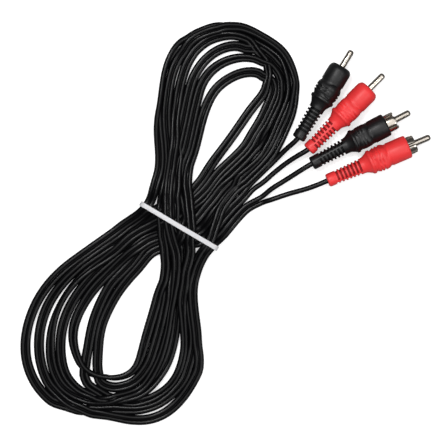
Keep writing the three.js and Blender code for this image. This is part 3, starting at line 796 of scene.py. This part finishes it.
def make_shell(name):
    """The rolled shell: a sprung ring slotted into petals, its floor and its solder tag."""
    plug = PLUGS[name]
    _, rear, _ = stations(name)
    rim = rear + SHELL_LENGTH
    hole = SHELL_HOLE_RADIUS
    shell = turned(f"{name}_sprung_shell", [
        (rear, hole), (rear, SHELL_RADIUS - 0.4),
        *corner(-0.4, 0.4, rear + 0.4, SHELL_RADIUS - 0.4, 80, 0, 4),
        (rim - 1.4, SHELL_RADIUS), (rim - 0.25, SHELL_RADIUS - 0.12),
        (rim - 0.06, SHELL_RADIUS - 0.2), (rim, SHELL_RADIUS - 0.3),
        (rim - 0.1, SHELL_BORE + 0.02), (rim - 0.4, SHELL_BORE),
        (rear + SHELL_FLOOR, SHELL_BORE), (rear + SHELL_FLOOR, hole), (rear, hole)], 80)
    cuts = []
    depth, width = PETAL_SLOT
    for i in range(PETAL_COUNT):
        slot = block("slot", (depth + 1, width, SHELL_RADIUS),
                     (rim - depth / 2 + 0.5, 0, SHELL_RADIUS))
        only(slot)
        soften(slot, 0.35 * MM, 3)
        turn_about_axis(slot, plug["shell"] + (i + 0.5) * 360 / PETAL_COUNT)
        cuts.append(slot)
    combine(shell, joined(cuts, "slots"), "DIFFERENCE")
    length, across, thick = TAG_SIZE
    offset = PIN_RADIUS + CLEAR + SHIELD_TAIL_RADIUS + CLEAR
    tag = block("tag", (length + 0.3, across, thick),
                (rear - length / 2 + 0.15, 0, -offset - thick / 2))
    combine(shell, tag, "UNION")
    soften(shell, 0.06 * MM, 2, 50)
    on_plug(shell, name)
    dress(shell, nickel_finish())
    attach(shell, "root")
    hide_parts(f"{name}_ground_shell")
    return shell


def make_pin(name):
    """Turned pin: a thin ring groove, straight shank, rounded tip and a solder cup behind."""
    _, rear, _ = stations(name)
    radius = sizes().pin_radius / MM
    back = rear - PIN_BEHIND_SHELL
    tip = rear + SHELL_LENGTH + PIN_BEYOND_SHELL + PLUGS[name]["pin"]
    pin = turned(f"{name}_turned_pin", [
        (back + 3, 0), (back + 3, SOLDER_CUP_RADIUS), (back + 0.15, SOLDER_CUP_RADIUS),
        (back, SOLDER_CUP_RADIUS + 0.1),
        (back, radius - 0.1), (back + 0.1, radius),
        (tip - 6.9, radius), (tip - 6.85, radius - 0.04), (tip - 6.7, radius - 0.04),
        (tip - 6.65, radius), (tip - 1.3, radius),
        *corner(1.3, radius - 0.35, tip - 1.3, 0.35, 10, 90, 8), (tip, 0)], 48)
    on_plug(pin, name)
    dress(pin, nickel_finish(), 30)
    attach(pin, "root")
    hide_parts(f"{name}_centre_pin")
    return pin


def dress_inside(name):
    """The pieces inside a plug that stay as packed, with a finish each."""
    pale = plastic("Insulator plastic", (0.62, 0.60, 0.55), 0.45, 0.6, 700.0, 0.00004)
    core = plastic("Core insulation", (0.58, 0.55, 0.48), 0.35, 0.5, 500.0, 0.00003)
    for part, finish in (("insulator", pale), ("core_wire", core),
                         ("shield_tail", copper_finish())):
        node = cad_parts[f"{name}_{part}"]
        if node.material_slots:
            for slot in node.material_slots:
                slot.material = finish
        else:
            node.data.materials.append(finish)


# The cable's route
def flat(point):
    return np.array(point[:2], float)


def strand_place(outer, inner, share):
    """The middle of a strand that lies between the band's two edges."""
    outer, inner = flat(outer), flat(inner)
    width = np.linalg.norm(inner - outer)
    half = 2 * LEAD_RADIUS
    return outer + (inner - outer) * (half + share * (width - 2 * half)) / width


def eased(share):
    share = min(1.0, max(0.0, share))
    return share * share * (3 - 2 * share)


def slot_at(knots, station):
    """The slot that a pass lies in at a station, in part while it changes slots."""
    for (slot, start), (following, end) in zip(knots, knots[1:]):
        if station <= start:
            return slot
        if station < end:
            return slot + (following - slot) * eased((station - start) / (end - start))
    return knots[-1][0]


def loop_pass(table, turning, knots, place_in_pile, descending_side):
    """One strand round a loop, as (point, place in the pile, whether it crosses above)."""
    shares = np.array([np.interp(slot_at(knots, i), range(len(slots)), slots)
                       for i, (_, _, slots) in enumerate(table)])
    for _ in range(2):
        shares[1:-1] = (shares[:-2] + 2 * shares[1:-1] + shares[2:]) / 4
    return [(strand_place(outer, inner, shares[i]), place_in_pile,
             (i < turning) == descending_side)
            for i, (outer, inner, _) in enumerate(table)]


def winding_plan():
    """The whole cable in plan, as (point, place in the pile, whether it crosses above)."""
    plan = []
    left, right = flat(TIE_LEFT), flat(TIE_RIGHT)
    for kind, *values in WINDING:
        if kind == "first_end":
            plan += [(flat(point), FIRST_END_PILE, False) for point in FIRST_END]
        elif kind == "second_end":
            plan += [(flat(point), SECOND_END_PILE, True) for point in SECOND_END]
        elif kind in ("below", "above"):
            plan.append((left + (right - left) * values[0], None, kind == "above"))
        elif kind == "upper":
            plan += loop_pass(UPPER_STATIONS, UPPER_TURNING, *values, True)
        elif kind == "lower":
            plan += loop_pass(LOWER_STATIONS, LOWER_TURNING, *values, False)
        else:
            plan += reversed(loop_pass(LOWER_STATIONS, LOWER_TURNING, *values, False))
    return plan


def smooth_route(points, step):
    """An even run of places on a centripetal spline through the points, and where each lies
    among them."""
    ends = np.vstack([2 * points[0] - points[1], points, 2 * points[-1] - points[-2]])
    places, among = [], []
    for i in range(1, len(ends) - 2):
        before, here, there, after = ends[i - 1:i + 3]
        d1, d2, d3 = (max(1e-6, np.linalg.norm(b - a)) ** 0.5
                      for a, b in ((before, here), (here, there), (there, after)))
        for k in range(12):
            t = k / 12 * d2
            a1 = (before * -t + here * (t + d1)) / d1
            a2 = (here * (d2 - t) + there * t) / d2
            a3 = (there * (d2 + d3 - t) + after * (t - d2)) / d3
            b1 = (a1 * (d2 - t) + a2 * (t + d1)) / (d1 + d2)
            b2 = (a2 * (d2 + d3 - t) + a3 * t) / (d2 + d3)
            places.append((b1 * (d2 - t) + b2 * t) / d2)
            among.append(i - 1 + k / 12)
    places.append(ends[-2])
    among.append(len(points) - 1)
    places, among = np.array(places), np.array(among)
    run = np.concatenate([[0], np.cumsum(np.linalg.norm(np.diff(places, axis=0), axis=1))])
    even = np.linspace(0, run[-1], int(round(run[-1] / step)) + 1)
    columns = [np.interp(even, run, places[:, c]) for c in range(places.shape[1])]
    return np.stack(columns, axis=1), np.interp(even, run, among)


def tie_axes():
    """The tie's middle in plan, and the directions along and across its span."""
    left, right = flat(TIE_LEFT), flat(TIE_RIGHT)
    along = (right - left) / np.linalg.norm(right - left)
    return (left + right) / 2, along, np.array([-along[1], along[0]])


def close_pairs(places, numbers, reach, apart):
    """Pairs of lead samples close enough in plan to touch, and not on the same stretch."""
    firsts, seconds = [], []
    for start in range(0, len(places), 400):
        some = places[start:start + 400]
        gap = ((some[:, None, :2] - places[None, :, :2]) ** 2).sum(axis=2)
        far = np.abs(numbers[start:start + 400, None] - numbers[None, :]) > apart
        i, j = np.nonzero((gap < reach * reach) & far)
        keep = i + start < j
        firsts.append(i[keep] + start)
        seconds.append(j[keep])
    return np.concatenate(firsts), np.concatenate(seconds)


def smooth(line, share):
    """Moves each point of a line by a share of the way to its neighbours, in place."""
    line[1:-1] += share * (line[:-2] + line[2:] - 2 * line[1:-1])


def pile_order(plan, among):
    """For each place on the middle line, its place in the pile and whether it crosses above."""
    pile, above = np.zeros(len(among)), np.zeros(len(among), bool)
    for i, place in enumerate(among):
        nearest = int(round(place))
        order = plan[nearest][1]
        if order is None:
            order = plan[nearest - 1 if place < nearest else nearest + 1][1]
        pile[i], above[i] = order, plan[nearest][2]
    return pile, above


def resting_floor(off_tie, on_tie):
    """The lowest that a lead's middle lies: on the floor, on the strap or on its head."""
    floor = np.full(len(off_tie), LEAD_RADIUS + OFF_FLOOR)
    floor[np.abs(off_tie) < TIE_REACH] += TIE_FLOOR + ON_TIE
    on_head = (np.abs(off_tie) < HEAD_REACH[1]) & (
        np.abs(on_tie - HEAD_PLACE) < HEAD_REACH[0])
    floor[on_head] = LEAD_RADIUS + HEAD_SIZE[2] + ON_TIE
    return floor


def laid_heights(floor, pile, above, off_tie):
    """Heights at which the cable is first laid, before it settles."""
    at_waist = np.clip((WAIST_REACH + WAIST_FADE - np.abs(off_tie)) / WAIST_FADE, 0, 1)
    height = floor + PILE_STEP * (pile - 1) * (1 - at_waist) + np.where(
        above, CROSSING_RISE * at_waist, 0) + WAIST_PILE_STEP * (pile - 1) * at_waist
    for _ in range(HEIGHT_ROUNDS):
        height[1:-1] = np.maximum(
            floor[1:-1], 0.5 * height[1:-1] + 0.25 * (height[:-2] + height[2:]))
    return height


def roll_along(off_tie):
    """How far the twin cable leans off the level along its run; it lies flat at the tie."""
    run = np.arange(len(off_tie)) * ROUTE_STEP
    roll = sum(size * np.sin(2 * math.pi * run / wave + start)
               for size, wave, start in ROLLS)
    roll *= np.clip((np.abs(off_tie) - ROLL_FROM_TIE) / ROLL_FADE, 0, 1)
    roll *= np.clip(np.minimum(run, run[::-1]) / ROLL_END_FADE, 0, 1)
    return roll


def hold_together(places, left, right):
    """Sets the two leads of the cable side by side at their spacing, in place."""
    gap = places[left] - places[right]
    size = np.linalg.norm(gap, axis=1)[:, None]
    shift = (size - 2 * LEAD_RADIUS) * gap / size / 2
    places[left] -= shift
    places[right] += shift


def push_apart(places, first, second):
    """Moves leads that lie in each other apart, in place."""
    spacing = 2 * LEAD_RADIUS
    gap = places[first] - places[second]
    size = np.maximum(np.linalg.norm(gap, axis=1), 1e-6)
    touching = size < spacing
    push = (np.where(touching, spacing - size, 0) / size / 2)[:, None] * gap
    total, hits = np.zeros_like(places), np.zeros(len(places))
    np.add.at(total, first, push)
    np.add.at(total, second, -push)
    np.add.at(hits, first, touching)
    np.add.at(hits, second, touching)
    places += CONTACT_PUSH * total / np.maximum(1, hits)[:, None]


def settled(places, plan_places, stance, floor):
    """The leads' places after they sink, bend, roll to their stance and push apart."""
    count = len(floor)
    strands = plan_places.reshape(2, count, 2)
    bend = np.zeros_like(strands)
    bend[:, 1:-1] = (strands[:, :-2] + strands[:, 2:]) / 2 - strands[:, 1:-1]
    plan_places = plan_places - PLAN_STIFFNESS / PLAN_PULL * bend.reshape(2 * count, 2)
    numbers, floors = np.tile(np.arange(count), 2), np.tile(floor, 2)
    left, right = np.arange(count), np.arange(count) + count
    low = np.array(CAD_BOX[0]) / MM + LEAD_RADIUS + BOX_MARGIN
    high = np.array(CAD_BOX[1]) / MM - LEAD_RADIUS - BOX_MARGIN
    for i in range(RELAX_ROUNDS):
        if i % PAIRING_ROUNDS == 0:
            first, second = close_pairs(places, numbers, PAIR_REACH, PAIR_APART)
        places[:, 2] -= SETTLING
        places[:, :2] += PLAN_PULL * (plan_places - places[:, :2])
        strands = places.reshape(2, count, 3)
        bend = (strands[:, :-2] + strands[:, 2:]) / 2 - strands[:, 1:-1]
        strands[:, 1:-1, 2] += HEIGHT_STIFFNESS * bend[:, :, 2]
        strands[:, 1:-1, :2] += PLAN_STIFFNESS * bend[:, :, :2]
        places = strands.reshape(2 * count, 3)
        turn = ROLL_PULL * (places[left] - places[right] - stance) / 2
        places[left] -= turn
        places[right] += turn
        for _ in range(CONTACT_ROUNDS):
            hold_together(places, left, right)
            push_apart(places, first, second)
            places[:, 2] = np.maximum(places[:, 2], floors)
            places[:, :2] = np.clip(places[:, :2], low[:2], high[:2])
    return places.reshape(2, count, 3)


def wind_cable():
    """Both leads of the twin cable, in millimetres: laid on the plan, then settled under
    their own weight until none lies in another."""
    plan = winding_plan()
    middle_line, among = smooth_route(np.array([point for point, _, _ in plan]), ROUTE_STEP)
    for _ in range(LINE_ROUNDS):
        for share in LINE_SMOOTHING:
            smooth(middle_line, share)
    pile, above = pile_order(plan, among)
    centre, along, across = tie_axes()
    off_tie = (middle_line - centre) @ across
    on_tie = (middle_line - centre) @ along
    floor = resting_floor(off_tie, on_tie)
    height = laid_heights(floor, pile, above, off_tie)
    tangent = np.gradient(middle_line, axis=0)
    tangent /= np.linalg.norm(tangent, axis=1)[:, None]
    roll = roll_along(off_tie)
    level, upright = np.cos(roll) * LEAD_RADIUS, np.sin(roll) * LEAD_RADIUS
    sideways = np.stack([-tangent[:, 1] * level, tangent[:, 0] * level], axis=1)
    stance = np.column_stack([2 * sideways, 2 * upright])
    plan_places = np.concatenate([middle_line + sideways, middle_line - sideways])
    raised = height + np.abs(upright)
    places = np.column_stack([plan_places, np.concatenate([raised + upright,
                                                           raised - upright])])
    return settled(places, plan_places, stance, floor)


def closed_tube(name, rings):
    """A tube mesh through rings of vertices, closed at both ends."""
    count, sides = len(rings), len(rings[0])
    vertices = [tuple(point) for ring in rings for point in ring]
    faces = [(i * sides + k, i * sides + (k + 1) % sides,
              (i + 1) * sides + (k + 1) % sides, (i + 1) * sides + k)
             for i in range(count - 1) for k in range(sides)]
    faces.append(tuple(reversed(range(sides))))
    faces.append(tuple(range((count - 1) * sides, count * sides)))
    piece = from_points(name, vertices, faces)
    only(piece)
    bpy.ops.object.mode_set(mode="EDIT")
    bpy.ops.mesh.select_all(action="SELECT")
    bpy.ops.mesh.normals_make_consistent(inside=False)
    bpy.ops.object.mode_set(mode="OBJECT")
    return piece


def twin_section(radius):
    """The figure-of-eight outline of two leads and the web between them."""
    waist = math.radians(WEB_TURN)
    outline = []
    for side in (1, -1):
        for turn in np.linspace(-math.pi + waist, math.pi - waist, LEAD_SIDES):
            outline.append((side * (radius + radius * math.cos(turn)),
                            side * radius * math.sin(turn)))
    return np.array(outline)


def make_twin_cable():
    strands = wind_cable()
    both, _ = smooth_route(np.concatenate([strands[0], strands[1]], axis=1), MESH_STEP)
    left, right = both[:, :3], both[:, 3:]
    middle = (left + right) / 2
    tangent = np.gradient(middle, axis=0)
    tangent /= np.linalg.norm(tangent, axis=1)[:, None]
    wide = left - right
    wide -= (wide * tangent).sum(axis=1)[:, None] * tangent
    wide /= np.linalg.norm(wide, axis=1)[:, None]
    tall = np.cross(tangent, wide)
    section = twin_section(sizes().lead_diameter / MM / 2)
    rings = [(middle[i] + section[:, :1] * wide[i] + section[:, 1:] * tall[i]) * MM
             for i in range(len(middle))]
    cable = closed_tube("twin_cable", rings)
    dress(cable, jacket_finish(), 50)
    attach(cable, "root")
    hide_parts("cable_hank")
    return strands


def make_lead(name, start, start_direction):
    """A single lead from the end of the twin cable to the joint inside its plug."""
    _, _, lead_end = stations(name)
    rear = PLUG_PLACES[name]
    heading = math.radians(PLUGS[name]["heading"])
    forward = np.array([math.cos(heading), math.sin(heading), 0])
    points = [start - start_direction * 1.2, start + start_direction * 3.5]
    points += [np.array(point) for point in LEAD_ROUTES[name]]
    points += [np.array(rear) + forward * station
               for station in (-CLEAR, lead_end / 3, 2 * lead_end / 3, lead_end)]
    route, _ = smooth_route(np.array(points, float), LEAD_STEP)
    for _ in range(LINE_ROUNDS):
        smooth(route, LINE_SMOOTHING[0])
    tangent = np.gradient(route, axis=0)
    tangent /= np.linalg.norm(tangent, axis=1)[:, None]
    upright = np.array([0, 0, 1.0])
    wide = np.cross(tangent, upright)
    wide /= np.linalg.norm(wide, axis=1)[:, None]
    tall = np.cross(wide, tangent)
    radius = sizes().lead_diameter / MM / 2
    turns = np.linspace(0, 2 * math.pi, LEAD_SIDES, endpoint=False)
    rings = [(route[i] + radius * (np.cos(turns)[:, None] * wide[i]
                                   + np.sin(turns)[:, None] * tall[i])) * MM
             for i in range(len(route))]
    lead = closed_tube(f"{name}_single_lead", rings)
    dress(lead, jacket_finish(), 50)
    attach(lead, "root")
    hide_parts(f"{name}_lead")
    return lead, route * MM


def declare_lead(name, lead, route):
    pieces = [bpy.data.objects[f"{name}_{part}"]
              for part in ("boot_moulding", "sprung_shell", "turned_pin")]
    pieces += [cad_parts[f"{name}_{part}"]
               for part in ("insulator", "core_wire", "shield_tail")]


# The tie
def outline_round(points):
    """The tightest outline round points in a plane, anticlockwise."""
    points = sorted(set((round(float(x), 4), round(float(y), 4)) for x, y in points))
    halves = []
    for run in (points, points[::-1]):
        half = []
        for point in run:
            while len(half) > 1 and (
                    (half[-1][0] - half[-2][0]) * (point[1] - half[-2][1])
                    - (half[-1][1] - half[-2][1]) * (point[0] - half[-2][0])) <= 0:
                half.pop()
            half.append(point)
        halves += half[:-1]
    return np.array(halves)


def make_tie(strands):
    """The strap drawn tight round the leads at the waist, and its locking head below."""
    centre, along, across = tie_axes()
    leads = strands.reshape(-1, 3)
    near = np.abs((leads[:, :2] - centre) @ across) < STRAP_HOLD
    turns = np.linspace(0, 2 * math.pi, 24, endpoint=False)
    rim = LEAD_RADIUS + STRAP_SLACK
    held = [((place[:2] - centre) @ along + rim * math.cos(turn),
             place[2] + rim * math.sin(turn)) for place in leads[near] for turn in turns]
    half = HEAD_SIZE[0] / 2
    held += [(HEAD_PLACE - half, TIE_FLOOR), (HEAD_PLACE + half, TIE_FLOOR)]
    hull = outline_round(held)
    hull = np.vstack([hull, hull[:1]])
    run = np.concatenate([[0], np.cumsum(np.linalg.norm(np.diff(hull, axis=0), axis=1))])
    even = np.linspace(0, run[-1], STRAP_POINTS + 1)[:-1]
    loop = np.column_stack([np.interp(even, run, hull[:, c]) for c in (0, 1)])
    for _ in range(2):
        loop = (np.roll(loop, 1, axis=0) + 2 * loop + np.roll(loop, -1, axis=0)) / 4
    loop[:, 1] = np.maximum(loop[:, 1], TIE_THICKNESS + STRAP_OFF_FLOOR)

    def placed(point, side):
        flat_place = centre + along * point[0] + across * side * TIE_WIDTH / 2
        return (flat_place[0] * MM, flat_place[1] * MM, point[1] * MM)

    count = len(loop)
    vertices = [placed(point, side) for side in (1, -1) for point in loop]
    faces = [(i, (i + 1) % count, count + (i + 1) % count, count + i) for i in range(count)]
    strap = from_points("tie_strap", vertices, faces)
    only(strap)
    bpy.ops.object.mode_set(mode="EDIT")
    bpy.ops.mesh.select_all(action="SELECT")
    bpy.ops.mesh.normals_make_consistent(inside=False)
    bpy.ops.object.mode_set(mode="OBJECT")
    middle = Vector(placed((0, loop[:, 1].mean()), 0))
    face = strap.data.polygons[0]
    outward = 1 if face.normal.dot(face.center - middle) > 0 else -1
    wall = strap.modifiers.new("Thickness", "SOLIDIFY")
    wall.thickness = TIE_THICKNESS * MM
    wall.offset = outward
    bpy.ops.object.modifier_apply(modifier=wall.name)
    soften(strap, STRAP_EDGE * MM, 3, 50)
    length, width, tall = HEAD_SIZE
    head = block("tie_head", (length, width, tall - 2 * ON_TIE), (0, 0, tall / 2))
    only(head)
    bpy.ops.object.mode_set(mode="OBJECT")
    for face in head.data.polygons:
        face.select = abs(face.normal.x) > 0.9
    bpy.ops.object.mode_set(mode="EDIT")
    bpy.ops.mesh.select_mode(type="FACE")
    bpy.ops.mesh.inset(thickness=HEAD_WALL * MM, depth=-HEAD_RECESS * MM)
    bpy.ops.object.mode_set(mode="OBJECT")
    soften(head, HEAD_EDGE * MM, 3, 50)
    turn = Matrix.Rotation(math.atan2(along[1], along[0]), 4, "Z")
    place = centre + along * HEAD_PLACE
    head.data.transform(Matrix.Translation((place[0] * MM, place[1] * MM, 0)) @ turn)
    for piece in (strap, head):
        dress(piece, nylon_finish(), 40)
        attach(piece, "root")
        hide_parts("cable_tie")


# The stage
def stage_finish(name, strength):
    """White where it is seen straight or through glass, with the object's shadow kept, and a
    plain grey matt surface to the light that falls on the object from it."""
    finish = bpy.data.materials.new(name)
    finish.use_nodes = True
    nodes, links = finish.node_tree.nodes, finish.node_tree.links
    shader = nodes["Principled BSDF"]
    shader.inputs["Base Color"].default_value = (0.9, 0.9, 0.9, 1)
    shader.inputs["Roughness"].default_value = 1.0
    shader.inputs["Specular IOR Level"].default_value = 0.0
    dim = nodes.new("ShaderNodeBsdfDiffuse")
    dim.inputs["Color"].default_value = (0.35, 0.35, 0.35, 1)
    ray = nodes.new("ShaderNodeLightPath")
    either = nodes.new("ShaderNodeMath")
    either.operation = "MAXIMUM"
    links.new(ray.outputs["Is Camera Ray"], either.inputs[0])
    links.new(ray.outputs["Is Transmission Ray"], either.inputs[1])
    glow = nodes.new("ShaderNodeEmission")
    glow.inputs["Strength"].default_value = strength
    plus = nodes.new("ShaderNodeAddShader")
    links.new(shader.outputs["BSDF"], plus.inputs[0])
    links.new(glow.outputs["Emission"], plus.inputs[1])
    mix = nodes.new("ShaderNodeMixShader")
    links.new(either.outputs["Value"], mix.inputs["Fac"])
    links.new(dim.outputs["BSDF"], mix.inputs[1])
    links.new(plus.outputs["Shader"], mix.inputs[2])
    links.new(mix.outputs["Shader"], nodes["Material Output"].inputs["Surface"])
    return finish


def softbox(name, place, size, power):
    """A flat lamp that looks at the origin."""
    light = bpy.data.lights.new(name, "AREA")
    light.shape = "RECTANGLE"
    light.size, light.size_y = size
    light.energy = power
    lamp = bpy.data.objects.new(name, light)
    lamp.location = place
    lamp.rotation_euler = (-Vector(place)).to_track_quat("-Z", "Y").to_euler()
    bpy.context.scene.collection.objects.link(lamp)


def make_stage():
    scene = bpy.context.scene
    scene.view_settings.view_transform = "Standard"
    nothing_selected()
    bpy.ops.mesh.primitive_plane_add(size=FLOOR_SIDE, location=(0, 0, -FLOOR_DROP))
    floor = bpy.context.object
    floor.name = "floor"
    settle(floor)
    floor.data.materials.append(stage_finish("Pale floor", FLOOR_GLOW))
    world = bpy.data.worlds.new("Studio")
    scene.world = world
    world.use_nodes = True
    nodes, links = world.node_tree.nodes, world.node_tree.links
    around = nodes["Background"]
    around.inputs["Color"].default_value = (1, 1, 1, 1)
    around.inputs["Strength"].default_value = 0.10
    seen = nodes.new("ShaderNodeBackground")
    seen.inputs["Color"].default_value = (1, 1, 1, 1)
    seen.inputs["Strength"].default_value = 1.0
    ray = nodes.new("ShaderNodeLightPath")
    mix = nodes.new("ShaderNodeMixShader")
    links.new(ray.outputs["Is Camera Ray"], mix.inputs["Fac"])
    links.new(around.outputs["Background"], mix.inputs[1])
    links.new(seen.outputs["Background"], mix.inputs[2])
    links.new(mix.outputs["Shader"], nodes["World Output"].inputs["Surface"])
    for lamp in LAMPS:
        softbox(*lamp)
    camera = bpy.data.cameras.new("camera")
    camera.lens = SENSOR_WIDTH * (CAMERA_HEIGHT - FRAME_LEVEL) / FRAME_SIDE
    camera.clip_end = 10
    viewer = bpy.data.objects.new("camera", camera)
    viewer.location = (0, 0, CAMERA_HEIGHT)
    scene.collection.objects.link(viewer)
    scene.camera = viewer


# Operators: one for each group of like pieces, and one for the stage
STATE = {}


class PHONO_OT_stage(bpy.types.Operator):
    """Set up the floor, the lamps and the camera"""

    bl_idname = "phono.stage"
    bl_label = "Stage"

    def execute(self, context):
        make_stage()
        return {"FINISHED"}


class PHONO_OT_twin_cable(bpy.types.Operator):
    """Wind the twin cable into its crossed hank"""

    bl_idname = "phono.twin_cable"
    bl_label = "Twin cable"

    def execute(self, context):
        STATE["strands"] = make_twin_cable()
        return {"FINISHED"}


class PHONO_OT_single_leads(bpy.types.Operator):
    """Lead the four single leads from the hank into their plugs"""

    bl_idname = "phono.single_leads"
    bl_label = "Single leads"

    def execute(self, context):
        if "strands" not in STATE:
            raise RuntimeError("the twin cable has to be wound before its leads")
        left, right = STATE["strands"]
        ends = {"black_1": (right[0], right[1]), "red_1": (left[0], left[1]),
                "black_2": (left[-1], left[-2]), "red_2": (right[-1], right[-2])}
        STATE["leads"] = {}
        for name, (end, before) in ends.items():
            direction = (end - before) / np.linalg.norm(end - before)
            STATE["leads"][name] = make_lead(name, end, direction)
        return {"FINISHED"}


class PHONO_OT_plugs(bpy.types.Operator):
    """Make the four moulded plugs and put them on their leads"""

    bl_idname = "phono.plugs"
    bl_label = "Plugs"

    def execute(self, context):
        if "leads" not in STATE:
            raise RuntimeError("the single leads come before their plugs")
        for name in PLUGS:
            make_boot(name)
            make_shell(name)
            make_pin(name)
            dress_inside(name)
            declare_lead(name, *STATE["leads"][name])
        return {"FINISHED"}


class PHONO_OT_tie(bpy.types.Operator):
    """Close the nylon tie round the waist of the hank"""

    bl_idname = "phono.tie"
    bl_label = "Cable tie"

    def execute(self, context):
        if "strands" not in STATE:
            raise RuntimeError("the tie needs the wound cable")
        make_tie(STATE["strands"])
        return {"FINISHED"}


class PHONO_PT_panel(bpy.types.Panel):
    """The cable's sizes, colours and pieces"""

    bl_idname = "PHONO_PT_panel"
    bl_label = "Phono Cable"
    bl_space_type = "VIEW_3D"
    bl_region_type = "UI"
    bl_category = "Phono Cable"

    def draw(self, context):
        layout = self.layout
        for group in (context.scene.phono_cable_sizes, context.scene.phono_cable_colours):
            box = layout.box()
            for name in group.__annotations__:
                box.prop(group, name)
        for operator in STEPS:
            layout.operator(operator.bl_idname)


STEPS = (PHONO_OT_stage, PHONO_OT_twin_cable, PHONO_OT_single_leads, PHONO_OT_plugs,
         PHONO_OT_tie)
CLASSES = (PhonoCableSizes, PhonoCableColours, *STEPS, PHONO_PT_panel)


def register():
    for cls in CLASSES:
        bpy.utils.register_class(cls)
    bpy.types.Scene.phono_cable_sizes = bpy.props.PointerProperty(type=PhonoCableSizes)
    bpy.types.Scene.phono_cable_colours = bpy.props.PointerProperty(type=PhonoCableColours)


def unregister():
    del bpy.types.Scene.phono_cable_colours
    del bpy.types.Scene.phono_cable_sizes
    for cls in reversed(CLASSES):
        bpy.utils.unregister_class(cls)


def main():
    register()
    bpy.ops.phono.stage()
    bpy.ops.phono.twin_cable()
    bpy.ops.phono.single_leads()
    bpy.ops.phono.plugs()
    bpy.ops.phono.tie()
    nothing_selected()


if __name__ == "__main__":
    main()
